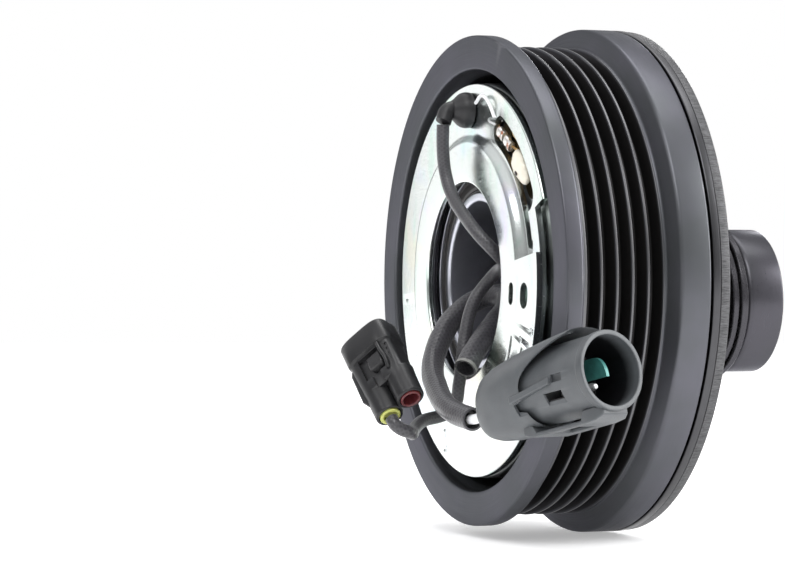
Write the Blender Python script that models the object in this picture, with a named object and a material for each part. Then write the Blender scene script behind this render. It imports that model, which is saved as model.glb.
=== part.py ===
"""Electromagnetic clutch of a car air-conditioning compressor, with its coil lead and two plugs.

The shaft axis is Y. The compressor side (rear) is +Y, the hub side (front) is -Y and +Z is up. The
origin is on the axis, in the plane of the pulley's rear face. Sizes and places are in millimetres,
and add_object turns them into metres.
"""

import math

import bmesh
import bpy
from mathutils import Matrix, Vector

MM = 0.001
FULL_TURN = 2 * math.pi

# Clearance between neighbouring pieces, and the small chamfer on turned edges.
GAP = 0.3
CHAMFER = 0.4

# Belt pulley: a five-rib groove set (rib pitch 3.56) between two flanges.
RIB_PITCH = 3.56
RIB_COUNT = 5
RIB_DEPTH = 3.1
RIB_HALF_ANGLE = math.radians(20)
RIB_TIP_FLAT = 0.5
RIM_R = 51.8
FIRST_GROOVE_Y = -6.92
REAR_FLANGE_R = 54.0
REAR_FLANGE_WIDTH = 3.9
FRONT_FLANGE_R = 56.0
FRONT_FLANGE_Y = -25.0
PULLEY_FRONT_Y = -31.7
REAR_OPENING_R = 46.5
COIL_SPACE_R = 44.3
FRICTION_WALL = 4.5
PULLEY_HUB_R = 29.0
FLUX_SLOT_R = (34.5, 38.5)
FLUX_SLOTS = 6

# Pulley bearing, 35 x 52 x 22.
BEARING_BORE_R = 17.5
BEARING_R = 26.0
BEARING_REAR_Y = -2.2
BEARING_WIDTH = 22.0
INNER_RACE_R = 19.4
OUTER_RACE_R = 23.2
BALL_R = 2.7
BALL_COUNT = 11

# Coil: a steel channel that opens to the front, closed at the rear by the pressed mounting plate.
COIL_R = 43.6
COIL_BORE_R = 30.3
COIL_WALL = 1.9
COIL_REAR_Y = -2.2
COIL_FRONT_Y = -25.6
PLATE_THICKNESS = 1.3
PLATE_BORE_R = 21.7
PLATE_R = 43.4
PLATE_OUTER_Y = -0.6
PLATE_RAISED_Y = 1.4
PLATE_STEP_R = (30.3, 32.2)

# Armature and hub. Three rubber dampers on one pitch circle join them.
AIR_GAP = 0.45
ARMATURE_THICKNESS = 4.05
ARMATURE_BORE_R = 26.0
ARMATURE_SLOT_R = (31.5, 39.6)
DAMPER_PITCH_R = 37.5
DAMPER_COUNT = 3
FIRST_DAMPER_ANGLE = math.radians(186.7)
CUP_R = 15.2
CUP_REAR_Y = -42.05
CUP_FRONT_Y = -50.3
LOBE_R = 16.0
HUB_PLATE_Y = (-40.15, -41.75)
BACK_PLATE_Y = (-38.4, -39.9)
HUB_OPENING_R = 24.3
BOSS_R = 11.8
SPLINE_R = (5.8, 6.5)
SPLINE_TEETH = 24
PIN_R = 4.7
RIVET_PITCH_R = 20.3

# Facets around a full turn, for wide, middling and small turned pieces.
WIDE, MIDDLE, SMALL = 48, 28, 18

# Finishes: base colour, roughness, metallic.
BLACK_OXIDE = ((0.030, 0.028, 0.032), 0.34, 0.75)
GREY_STEEL = ((0.230, 0.225, 0.225), 0.38, 0.90)
DARK_STEEL = ((0.055, 0.053, 0.055), 0.36, 0.85)
BRIGHT_ZINC = ((0.780, 0.800, 0.780), 0.20, 1.00)
RACE_STEEL = ((0.560, 0.560, 0.570), 0.16, 1.00)
COPPER = ((0.620, 0.330, 0.130), 0.35, 1.00)
BRASS = ((0.720, 0.520, 0.230), 0.30, 1.00)
TIN = ((0.620, 0.680, 0.670), 0.25, 1.00)
RESIN = ((0.050, 0.035, 0.025), 0.45, 0.00)
CREAM_RESIN = ((0.780, 0.740, 0.640), 0.40, 0.00)
BLACK_RUBBER = ((0.035, 0.035, 0.036), 0.60, 0.00)
SLEEVE_GREY = ((0.070, 0.066, 0.074), 0.50, 0.00)
GREY_PLASTIC = ((0.125, 0.130, 0.135), 0.42, 0.00)
BLACK_PLASTIC = ((0.030, 0.032, 0.034), 0.40, 0.00)
YELLOW_SILICONE = ((0.680, 0.620, 0.240), 0.45, 0.00)
RED_SILICONE = ((0.230, 0.045, 0.050), 0.45, 0.00)


# ---------------------------------------------------------------- building blocks


def clear_scene():
    for obj in list(bpy.data.objects):
        bpy.data.objects.remove(obj, do_unlink=True)


def body_frame(name):
    """An empty on the shaft axis, which carries the pieces that turn or slide together."""
    empty = bpy.data.objects.new(name, None)
    bpy.context.collection.objects.link(empty)
    return empty


def paint(obj, finish):
    colour, roughness, metallic = finish
    material = bpy.data.materials.new(obj.name)
    material.use_nodes = True
    shader = material.node_tree.nodes["Principled BSDF"]
    shader.inputs["Base Color"].default_value = (*colour, 1.0)
    shader.inputs["Roughness"].default_value = roughness
    shader.inputs["Metallic"].default_value = metallic
    material.diffuse_color = (*colour, 1.0)
    obj.data.materials.clear()
    obj.data.materials.append(material)


def add_object(name, mesh_in_mm, parent, finish, place=None):
    """Make an object from a bmesh in millimetres. place is a 4x4 matrix, also in millimetres."""
    bmesh.ops.recalc_face_normals(mesh_in_mm, faces=mesh_in_mm.faces)
    bmesh.ops.scale(mesh_in_mm, vec=(MM, MM, MM), verts=mesh_in_mm.verts)
    mesh = bpy.data.meshes.new(name)
    mesh_in_mm.to_mesh(mesh)
    mesh_in_mm.free()
    mesh.shade_smooth()
    mesh.set_sharp_from_angle(angle=math.radians(30))
    obj = bpy.data.objects.new(name, mesh)
    bpy.context.collection.objects.link(obj)
    obj.parent = parent
    if place is not None:
        turn = place.to_3x3().to_4x4()
        obj.matrix_local = Matrix.Translation(place.translation * MM) @ turn
    paint(obj, finish)
    return obj


def add_cutter(name, mesh_in_mm, parent=None, place=None):
    cutter = add_object(name, mesh_in_mm, parent, BLACK_OXIDE, place)
    cutter.hide_render = True
    cutter.display_type = "WIRE"
    return cutter


def combine(obj, other, operation):
    modifier = obj.modifiers.new(other.name, "BOOLEAN")
    modifier.operation = operation
    modifier.object = other
    modifier.solver = "EXACT"


def turned(profile, segments, centre=(0.0, 0.0)):
    """A solid of revolution about a line along Y. profile is a closed loop of (radius, y)."""
    built = bmesh.new()
    rings = []
    for radius, y in profile:
        if radius < 1e-6:
            rings.append([built.verts.new((centre[0], y, centre[1]))])
            continue
        ring = []
        for step in range(segments):
            angle = FULL_TURN * step / segments
            x = centre[0] + radius * math.cos(angle)
            ring.append(built.verts.new((x, y, centre[1] + radius * math.sin(angle))))
        rings.append(ring)
    for ring, following in zip(rings, rings[1:] + rings[:1]):
        for step in range(segments):
            ahead = (step + 1) % segments
            if len(ring) == 1 and len(following) == 1:
                break
            if len(ring) == 1:
                built.faces.new((ring[0], following[ahead], following[step]))
            elif len(following) == 1:
                built.faces.new((ring[step], ring[ahead], following[0]))
            else:
                built.faces.new((ring[step], ring[ahead], following[ahead], following[step]))
    return built


def extruded(loops, y_rear, y_front):
    """A flat solid between two planes across Y. The first loop is its outline, the rest are holes."""
    built = bmesh.new()
    edges = []
    for loop in loops:
        corners = [built.verts.new((x, y_rear, z)) for x, z in loop]
        for corner, following in zip(corners, corners[1:] + corners[:1]):
            edges.append(built.edges.new((corner, following)))
    filled = bmesh.ops.triangle_fill(built, use_beauty=True, use_dissolve=False, edges=edges)
    faces = [item for item in filled["geom"] if isinstance(item, bmesh.types.BMFace)]
    lifted = bmesh.ops.extrude_face_region(built, geom=faces)["geom"]
    moved = [item for item in lifted if isinstance(item, bmesh.types.BMVert)]
    bmesh.ops.translate(built, verts=moved, vec=(0, y_front - y_rear, 0))
    return built


def joined(parts):
    """One bmesh that holds several separate closed bodies, for a cutter."""
    whole = bmesh.new()
    for part in parts:
        piece = bpy.data.meshes.new("joined_part")
        part.to_mesh(piece)
        part.free()
        whole.from_mesh(piece)
        bpy.data.meshes.remove(piece)
    return whole


def polar(radius, angle, centre=(0.0, 0.0)):
    return (centre[0] + radius * math.cos(angle), centre[1] + radius * math.sin(angle))


def arc(radius, start, end, steps, centre=(0.0, 0.0)):
    return [polar(radius, start + (end - start) * i / steps, centre) for i in range(steps + 1)]


def circle(radius, steps, centre=(0.0, 0.0)):
    return arc(radius, 0.0, FULL_TURN, steps, centre)[:-1]


def arc_steps(start, end, steps):
    """Equal steps of an angle, without its start."""
    return [start + (end - start) * i / steps for i in range(1, steps + 1)]


def arc_slot(inner, outer, middle, half_angle, steps=8, end_steps=5):
    """The outline of a slot that follows a circle about the axis and has round ends."""
    mean = (inner + outer) / 2
    round_r = (outer - inner) / 2
    reach = half_angle - round_r / mean
    first, last = middle - reach, middle + reach
    loop = arc(outer, first, last, steps)
    loop += arc(round_r, last, last + math.pi, end_steps, polar(mean, last))[1:-1]
    loop += arc(inner, last, first, steps)
    loop += arc(round_r, first + math.pi, first + FULL_TURN, end_steps, polar(mean, first))[1:-1]
    return loop


def lofted(sections, sides):
    """A closed body through rounded sections across X.

    Each section is (x, half width, half height, height of its centre, squareness), and a
    squareness of 2 is an ellipse. The first and last sections are capped.
    """
    built = bmesh.new()
    rings = []
    for x, half_width, half_height, rise, squareness in sections:
        ring = []
        for step in range(sides):
            angle = FULL_TURN * step / sides
            across, up = math.cos(angle), math.sin(angle)
            y = half_width * math.copysign(abs(across) ** (2 / squareness), across)
            z = rise + half_height * math.copysign(abs(up) ** (2 / squareness), up)
            ring.append(built.verts.new((x, y, z)))
        rings.append(ring)
    for ring, following in zip(rings, rings[1:]):
        for step in range(sides):
            ahead = (step + 1) % sides
            built.faces.new((ring[step], ring[ahead], following[ahead], following[step]))
    built.faces.new(rings[0])
    built.faces.new(rings[-1])
    return built


def block(low, high):
    """A box between two corners."""
    built = bmesh.new()
    bmesh.ops.create_cube(built, size=1.0)
    size = [high[axis] - low[axis] for axis in range(3)]
    bmesh.ops.scale(built, vec=size, verts=built.verts)
    middle = [(high[axis] + low[axis]) / 2 for axis in range(3)]
    bmesh.ops.translate(built, vec=middle, verts=built.verts)
    return built


def cable(name, points, radius, finish, sides=5, steps=4):
    """A round flexible piece through the given points, as a curve with filled ends."""
    curve = bpy.data.curves.new(name, "CURVE")
    curve.dimensions = "3D"
    curve.bevel_depth = radius * MM
    curve.bevel_resolution = sides
    curve.use_fill_caps = True
    curve.resolution_u = steps
    spline = curve.splines.new("BEZIER")
    spline.bezier_points.add(len(points) - 1)
    for knot, point in zip(spline.bezier_points, points):
        knot.co = Vector(point) * MM
        knot.handle_left_type = "AUTO"
        knot.handle_right_type = "AUTO"
    obj = bpy.data.objects.new(name, curve)
    bpy.context.collection.objects.link(obj)
    paint(obj, finish)
    return obj


def frame_at(origin, axis, side):
    """A placing matrix whose X runs along axis and whose Z lies towards side."""
    along = Vector(axis).normalized()
    up = Vector(side)
    up = (up - along * up.dot(along)).normalized()
    across = up.cross(along)
    turn = Matrix((along, across, up)).transposed().to_4x4()
    return Matrix.Translation(Vector(origin)) @ turn


def damper_angle(index):
    return FIRST_DAMPER_ANGLE + FULL_TURN * index / DAMPER_COUNT


# ---------------------------------------------------------------- belt pulley and bearing


def groove_profile():
    """The outside of the ribbed belt track, from the rear to the front."""
    half_top = (RIB_PITCH - RIB_TIP_FLAT) / 2
    half_root = half_top - RIB_DEPTH * math.tan(RIB_HALF_ANGLE)
    profile = []
    for index in range(RIB_COUNT):
        middle = FIRST_GROOVE_Y - index * RIB_PITCH
        profile += [
            (RIM_R, middle + half_top),
            (RIM_R - RIB_DEPTH, middle + half_root),
            (RIM_R - RIB_DEPTH, middle - half_root),
            (RIM_R, middle - half_top),
        ]
    return profile


def make_pulley(parent):
    wall_rear = PULLEY_FRONT_Y + FRICTION_WALL
    bearing_front = BEARING_REAR_Y - BEARING_WIDTH
    seat_r = BEARING_R + GAP / 2
    profile = [
        (REAR_OPENING_R, -CHAMFER),
        (REAR_OPENING_R + CHAMFER, 0.0),
        (REAR_FLANGE_R - CHAMFER, 0.0),
        (REAR_FLANGE_R, -CHAMFER),
        (REAR_FLANGE_R, -REAR_FLANGE_WIDTH + CHAMFER),
        (RIM_R, -REAR_FLANGE_WIDTH - CHAMFER),
    ]
    profile += groove_profile()
    profile += [
        (RIM_R, FRONT_FLANGE_Y + 1.7),
        (FRONT_FLANGE_R - CHAMFER, FRONT_FLANGE_Y + 0.3),
        (FRONT_FLANGE_R, FRONT_FLANGE_Y - 0.2),
        (FRONT_FLANGE_R, PULLEY_FRONT_Y + CHAMFER),
        (FRONT_FLANGE_R - CHAMFER, PULLEY_FRONT_Y),
        (23.9, PULLEY_FRONT_Y),
        (23.5, PULLEY_FRONT_Y + CHAMFER),
        (23.5, bearing_front - GAP),
        (seat_r, bearing_front - GAP),
        (seat_r, BEARING_REAR_Y + 0.2),
        (seat_r + CHAMFER, BEARING_REAR_Y + 0.6),
        (PULLEY_HUB_R - CHAMFER, BEARING_REAR_Y + 0.6),
        (PULLEY_HUB_R, BEARING_REAR_Y + 0.2),
        (PULLEY_HUB_R, wall_rear + 1.0),
        (PULLEY_HUB_R + 1.0, wall_rear),
        (COIL_SPACE_R - 1.0, wall_rear),
        (COIL_SPACE_R, wall_rear + 1.0),
        (COIL_SPACE_R, -6.5),
        (REAR_OPENING_R, -2.6),
    ]
    pulley = add_object("pulley", turned(profile, WIDE), parent, BLACK_OXIDE)
    half_angle = math.pi / FLUX_SLOTS - math.radians(6)
    slots = []
    for index in range(FLUX_SLOTS):
        middle = FULL_TURN * index / FLUX_SLOTS
        outline = arc_slot(*FLUX_SLOT_R, middle, half_angle, 5, 3)
        slots.append(extruded([outline], wall_rear + 1.0, PULLEY_FRONT_Y - 1.0))
    combine(pulley, add_cutter("flux_slots", joined(slots)), "DIFFERENCE")


def race_profile(seat_r, track_r, groove_depth):
    """A bearing ring with a ball groove on the track side."""
    rear, front = BEARING_REAR_Y, BEARING_REAR_Y - BEARING_WIDTH
    middle = (rear + front) / 2
    outwards = 1.0 if track_r > seat_r else -1.0
    edge = seat_r + outwards * CHAMFER
    reach = BALL_R * 0.8
    return [
        (edge, rear),
        (track_r, rear),
        (track_r, middle + reach),
        (track_r - outwards * groove_depth, middle + reach * 0.45),
        (track_r - outwards * groove_depth, middle - reach * 0.45),
        (track_r, middle - reach),
        (track_r, front),
        (edge, front),
        (seat_r, front + CHAMFER),
        (seat_r, rear - CHAMFER),
    ]


def make_bearing(fixed, rotor, cage):
    inner = race_profile(BEARING_BORE_R, INNER_RACE_R, 1.1)
    add_object("bearing_inner_race", turned(inner, MIDDLE), fixed, RACE_STEEL)
    outer = race_profile(BEARING_R - GAP / 2, OUTER_RACE_R, 1.1)
    add_object("bearing_outer_race", turned(outer, MIDDLE), rotor, RACE_STEEL)
    front = BEARING_REAR_Y - BEARING_WIDTH
    for name, near, far in (
        ("bearing_seal_rear", BEARING_REAR_Y - 0.4, BEARING_REAR_Y - 1.4),
        ("bearing_seal_front", front + 0.4, front + 1.4),
    ):
        inside, outside = INNER_RACE_R + GAP, OUTER_RACE_R - GAP
        seal = turned([(inside, near), (outside, near), (outside, far), (inside, far)], MIDDLE)
        add_object(name, seal, rotor, BLACK_RUBBER)
    pitch_r = (INNER_RACE_R + OUTER_RACE_R) / 2
    middle = BEARING_REAR_Y - BEARING_WIDTH / 2
    rail = [(pitch_r - 0.5, middle + 1.1), (pitch_r + 0.5, middle + 1.1)]
    rail += [(radius, 2 * middle - y) for radius, y in reversed(rail)]
    balls = add_object("bearing_ball_cage", turned(rail, MIDDLE), cage, RACE_STEEL)
    spheres = []
    for index in range(BALL_COUNT):
        x, z = polar(pitch_r, FULL_TURN * index / BALL_COUNT)
        ball = bmesh.new()
        bmesh.ops.create_icosphere(ball, subdivisions=1, radius=BALL_R)
        bmesh.ops.translate(ball, verts=ball.verts, vec=(x, middle, z))
        spheres.append(ball)
    combine(balls, add_cutter("balls", joined(spheres)), "UNION")


# ---------------------------------------------------------------- coil


def make_coil(parent):
    web_front = COIL_REAR_Y - COIL_WALL - GAP
    rear = COIL_REAR_Y - GAP
    inside, outside = COIL_BORE_R + COIL_WALL, COIL_R - COIL_WALL
    shell = turned(
        [
            (COIL_BORE_R, rear),
            (COIL_R - CHAMFER, rear),
            (COIL_R, rear - CHAMFER),
            (COIL_R, COIL_FRONT_Y),
            (outside, COIL_FRONT_Y),
            (outside, web_front),
            (inside, web_front),
            (inside, COIL_FRONT_Y),
            (COIL_BORE_R, COIL_FRONT_Y),
        ],
        WIDE,
    )
    shell = add_object("coil_shell", shell, parent, BRIGHT_ZINC)
    window = arc_slot(33.2, 39.2, math.radians(132), math.radians(19))
    cutter = add_cutter("shell_window", extruded([window], 0.0, web_front - 1.0))
    combine(shell, cutter, "DIFFERENCE")
    low, high = inside + GAP, outside - GAP
    split = COIL_FRONT_Y + 5.0
    winding = [(low, web_front - 0.5), (high, web_front - 0.5), (high, split), (low, split)]
    add_object("coil_winding", turned(winding, MIDDLE), parent, COPPER)
    bottom, top = split - GAP, COIL_FRONT_Y + 0.5
    potting = [(low, bottom), (high, bottom), (high, top), (low, top)]
    add_object("coil_potting", turned(potting, MIDDLE), parent, RESIN)


def sector(inner, outer, start_degrees, end_degrees, steps=8):
    start, end = math.radians(start_degrees), math.radians(end_degrees)
    return arc(outer, start, end, steps) + arc(inner, end, start, steps)


def make_mounting_plate(parent):
    under = PLATE_THICKNESS
    inner_step, outer_step = PLATE_STEP_R
    profile = [
        (PLATE_BORE_R, PLATE_RAISED_Y - under),
        (PLATE_BORE_R, PLATE_RAISED_Y - 0.3),
        (PLATE_BORE_R + 0.3, PLATE_RAISED_Y),
        (inner_step, PLATE_RAISED_Y),
        (outer_step, PLATE_OUTER_Y),
        (PLATE_R - 0.3, PLATE_OUTER_Y),
        (PLATE_R, PLATE_OUTER_Y - 0.3),
        (PLATE_R, PLATE_OUTER_Y - under),
        (outer_step - 0.6, PLATE_OUTER_Y - under),
        (inner_step - 0.6, PLATE_RAISED_Y - under),
    ]
    plate = add_object("coil_mounting_plate", turned(profile, WIDE), parent, BRIGHT_ZINC)
    high, low = PLATE_RAISED_Y + 2.0, PLATE_OUTER_Y - 3.0
    notch = extruded([sector(38.8, 46.0, 157, 203)], high, low)
    window = arc_slot(32.9, 39.4, math.radians(134), math.radians(22))
    narrow = arc_slot(32.9, 35.2, math.radians(159.5), math.radians(9.5), 8, 4)
    cuts = [notch, extruded([window], high, low)]
    combine(plate, add_cutter("plate_notch_and_window", joined(cuts)), "DIFFERENCE")
    combine(plate, add_cutter("plate_narrow_window", extruded([narrow], high, low)), "DIFFERENCE")
    ear = extruded([sector(27.0, 41.4, 172, 203)], PLATE_RAISED_Y, PLATE_RAISED_Y - under)
    combine(plate, add_cutter("plate_ear", ear), "UNION")
    slots = [
        extruded([arc_slot(26.4, 28.8, math.radians(186), math.radians(5), 4, 4)], high, low),
        extruded([arc_slot(32.6, 36.6, math.radians(185.5), math.radians(4.6), 4, 4)], high, low),
    ]
    combine(plate, add_cutter("plate_slots", joined(slots)), "DIFFERENCE")


def make_coil_connections(parent):
    """The lead's rubber grommet, and the lead ends and protector that sit in the plate's window."""
    stem_x, stem_z = 0.3, 37.6
    dome = turned(
        [
            (0.0, PLATE_OUTER_Y + 0.2),
            (3.9, PLATE_OUTER_Y + 0.2),
            (3.9, 0.4),
            (3.4, 1.2),
            (2.2, 1.9),
            (0.0, 2.1),
        ],
        SMALL,
        (stem_x, stem_z),
    )
    grommet = add_object("lead_grommet", dome, parent, BLACK_RUBBER)
    elbow = cable(
        "grommet_elbow",
        [(stem_x, 0.6, stem_z), (stem_x, 4.6, stem_z - 0.1), (-0.3, 6.1, 34.9)],
        1.75,
        BLACK_RUBBER,
        3,
        5,
    )
    combine_curve(grommet, elbow)
    protector_x, protector_z = polar(35.9, math.radians(138))
    body = bmesh.new()
    bmesh.ops.create_uvsphere(body, u_segments=12, v_segments=8, radius=1.0)
    bmesh.ops.scale(body, vec=(4.7, 1.9, 2.5), verts=body.verts)
    tangent = Matrix.Rotation(math.radians(-(138 + 90)), 4, "Y")
    place = Matrix.Translation((protector_x, -1.5, protector_z)) @ tangent
    add_object("thermal_protector", body, parent, CREAM_RESIN, place)
    for number, degrees in ((1, 117.5), (2, 124.5)):
        x, z = polar(35.6, math.radians(degrees))
        turn = Matrix.Rotation(math.radians(-(degrees + 90)), 4, "Y")
        crimp = lofted(
            [(-1.6, 0.8, 1.2, 0, 2.5), (-0.6, 0.8, 1.2, 0, 2.5), (0.0, 0.5, 0.8, 0, 2.5),
             (0.6, 0.8, 1.2, 0, 2.5), (1.6, 0.8, 1.2, 0, 2.5)],
            12,
        )
        place = Matrix.Translation((x, -1.2, z)) @ turn
        add_object(f"lead_crimp_{number}", crimp, parent, COPPER, place)
    wire = [(-5.0, 0.3, 38.9), (-9.0, 0.5, 40.2), (-12.6, 0.4, 38.6), (-14.4, -0.3, 35.2)]
    cable("winding_lead", wire, 0.4, TIN, 1, 3)


def combine_curve(obj, curve_obj):
    """Unite a body with a curve, by way of the mesh that the curve makes."""
    graph = bpy.context.evaluated_depsgraph_get()
    mesh = bpy.data.meshes.new_from_object(curve_obj.evaluated_get(graph))
    built = bmesh.new()
    built.from_mesh(mesh)
    bmesh.ops.remove_doubles(built, verts=built.verts, dist=1e-6)
    bmesh.ops.scale(built, vec=(1 / MM, 1 / MM, 1 / MM), verts=built.verts)
    name = curve_obj.name
    bpy.data.objects.remove(curve_obj, do_unlink=True)
    combine(obj, add_cutter(name, built), "UNION")


# ---------------------------------------------------------------- lead and plugs

SMALL_PLUG = frame_at((-19.6, 23.4, -26.9), (-0.722, -0.091, -0.687), (-0.527, -0.571, 0.629))
SMALL_PLUG_LENGTH = 20.6
SMALL_PLUG_MATING_DEPTH = 6.0
SEAL_SPACING = 6.0
SEAL_R = 2.2
SEAL_SEAT_R = 2.5
MAIN_PLUG = frame_at((-78.4, 1.3, -17.8), (-0.936, -0.292, 0.2), (0.0, 0.0, 1.0))
SOCKET_R = 8.1
SOCKET_BORE_R = 7.1
SOCKET_DEPTH = 13.0
MAIN_PLUG_LENGTH = 36.5


def make_leads():
    seal = SMALL_PLUG @ Vector((0, 0, -SEAL_SPACING / 2))
    out = SMALL_PLUG.to_3x3() @ Vector((1, 0, 0))
    lead = [
        (-0.3, 6.15, 34.3),
        (0.1, 6.0, 28.7),
        (0.0, 5.5, 23.9),
        (-2.8, 5.0, 18.7),
        (-8.4, 4.3, 14.0),
        (-14.2, 2.8, 9.3),
        (-15.2, -0.6, 5.6),
        (-11.0, -3.8, 3.4),
        (-6.2, -3.6, 1.4),
        (-5.2, 0.6, -4.3),
        (-5.5, 2.8, -10.8),
        (-6.5, 4.1, -17.3),
        (-6.6, 4.9, -22.7),
        (-6.2, 6.0, -27.6),
        (-8.6, 14.5, -30.6),
        (-12.6, 17.9, -32.3),
        seal + out * 5.0 + Vector((2.4, -3.4, 0)),
        seal + out * 3.0 + Vector((0.4, -0.5, 0)),
        seal + out * 0.6,
    ]
    cable("coil_lead", lead, 1.2, SLEEVE_GREY, 1, 3)
    sleeve = [
        (-36.4, 13.6, -29.0),
        (-25.5, 14.2, -27.4),
        (-13.6, 12.6, -23.8),
        (-4.0, 10.0, -18.5),
        (0.9, 6.2, -12.8),
        (4.4, 1.2, -7.8),
        (5.2, -4.5, -4.2),
        (1.5, -8.4, -3.2),
        (-3.4, -7.4, -6.0),
        (-6.6, -3.4, -9.4),
        (-9.8, 0.5, -12.7),
        (-12.7, 4.0, -15.8),
        (-15.0, 6.8, -19.0),
    ]
    cable("main_sleeve", sleeve, 2.45, SLEEVE_GREY, 3, 3)
    plug_end = MAIN_PLUG @ Vector((-MAIN_PLUG_LENGTH - GAP, 0, -1.4))
    wire = [(-37.0, 13.5, -28.9), (-39.4, 13.2, -28.4), plug_end]
    cable("main_plug_wire", wire, 1.1, SLEEVE_GREY, 2, 3)


def make_main_plug():
    """The large plug: a round socket in a hood that is deeper above, with a latch arm below."""
    sections = [
        (0.0, SOCKET_R, SOCKET_R, 0.0, 2.0),
        (-13.6, 7.9, 7.9, 0.0, 2.0),
        (-14.0, 8.7, 9.3, 1.3, 2.4),
        (-22.0, 8.6, 8.8, 0.9, 2.5),
        (-30.0, 8.0, 7.9, 0.2, 2.5),
        (-34.5, 6.6, 6.8, -0.3, 2.3),
        (-MAIN_PLUG_LENGTH, 4.5, 4.8, -0.5, 2.0),
    ]
    housing = add_object("main_plug_housing", lofted(sections, 28), None, GREY_PLASTIC, MAIN_PLUG)
    added = (
        ("bracket", block((-16.0, -5.2, 7.0), (-3.0, 5.2, 9.9))),
        ("latch", block((-25.0, -4.6, -9.5), (-4.0, 4.6, -8.4))),
        ("latch_rear_post", block((-26.0, -4.6, -9.2), (-22.5, 4.6, -6.6))),
        ("latch_front_post", block((-7.0, -3.0, -9.0), (-4.2, 3.0, -7.3))),
    )
    for name, shape in added:
        combine(housing, add_cutter(f"main_plug_{name}", shape, None, MAIN_PLUG), "UNION")
    bore = turned([(0.0, 2.0), (SOCKET_BORE_R, 2.0), (SOCKET_BORE_R, -SOCKET_DEPTH),
                   (0.0, -SOCKET_DEPTH)], 28)
    turn_to_x = MAIN_PLUG @ Matrix.Rotation(math.radians(-90), 4, "Z")
    combine(housing, add_cutter("main_plug_bore", bore, None, turn_to_x), "DIFFERENCE")
    window = block((-19.5, -9.6, -5.5), (-14.5, -6.4, -1.6))
    combine(housing, add_cutter("main_plug_window", window, None, MAIN_PLUG), "DIFFERENCE")
    blade = [(-SOCKET_DEPTH + GAP, -1.0), (-1.4, -1.0)]
    blade += [(-4.6 + 3.2 * math.cos(a), -1.0 + 4.2 * math.sin(a)) for a in arc_steps(0.0, math.pi / 2, 6)]
    blade.append((-SOCKET_DEPTH + GAP, 3.2))
    add_object("main_plug_terminal", extruded([blade], 0.4, -0.4), None, TIN, MAIN_PLUG)


def make_small_plug():
    """The two-way plug: the wire end is at X = 0 of its frame, the mating end at the far side."""
    length = SMALL_PLUG_LENGTH
    sections = [
        (0.0, 3.3, 5.8, 0.0, 2.8),
        (-6.5, 3.5, 5.9, 0.0, 3.2),
        (-14.8, 3.6, 5.7, 0.0, 5.0),
        (-15.1, 4.4, 6.2, 0.0, 4.0),
        (-length, 4.4, 6.2, 0.0, 4.0),
    ]
    housing = add_object("small_plug_housing", lofted(sections, 32), None, BLACK_PLASTIC, SMALL_PLUG)
    mating_end = -length + SMALL_PLUG_MATING_DEPTH
    cuts = [block((-length - 1.0, -3.0, -4.5), (mating_end, 3.0, 4.5))]
    cuts.append(block((-14.3, -5.0, -2.9), (-8.8, -2.6, 3.9)))
    for side in (-1, 1):
        cavity = turned([(0.0, 1.0), (SEAL_SEAT_R, 1.0), (SEAL_SEAT_R, -4.0), (0.0, -4.0)], 20)
        bmesh.ops.rotate(cavity, verts=cavity.verts, cent=(0, 0, 0),
                         matrix=Matrix.Rotation(math.radians(-90), 3, "Z"))
        bmesh.ops.translate(cavity, verts=cavity.verts, vec=(0, 0, side * SEAL_SPACING / 2))
        cuts.append(cavity)
    combine(housing, add_cutter("small_plug_cavities", joined(cuts), None, SMALL_PLUG), "DIFFERENCE")
    lip = [(0.0, -3.6), (SEAL_R, -3.6), (SEAL_R, 0.0), (1.5, 0.3), (0.0, 0.3)]
    for name, side, finish in (
        ("seal_yellow", -1, YELLOW_SILICONE),
        ("seal_red", 1, RED_SILICONE),
    ):
        seal = turned(lip, 20)
        bmesh.ops.rotate(seal, verts=seal.verts, cent=(0, 0, 0),
                         matrix=Matrix.Rotation(math.radians(-90), 3, "Z"))
        bmesh.ops.translate(seal, verts=seal.verts, vec=(0, 0, side * SEAL_SPACING / 2))
        add_object(f"small_plug_{name}", seal, None, finish, SMALL_PLUG)
    for number, side in ((1, -1), (2, 1)):
        middle = side * SEAL_SPACING / 2 * 0.8
        pin = block((-length + 0.8, -0.4, middle - 1.0), (mating_end - GAP, 0.4, middle + 1.0))
        add_object(f"small_plug_terminal_{number}", pin, None, BRASS, SMALL_PLUG)


# ---------------------------------------------------------------- hub, dampers and armature


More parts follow.
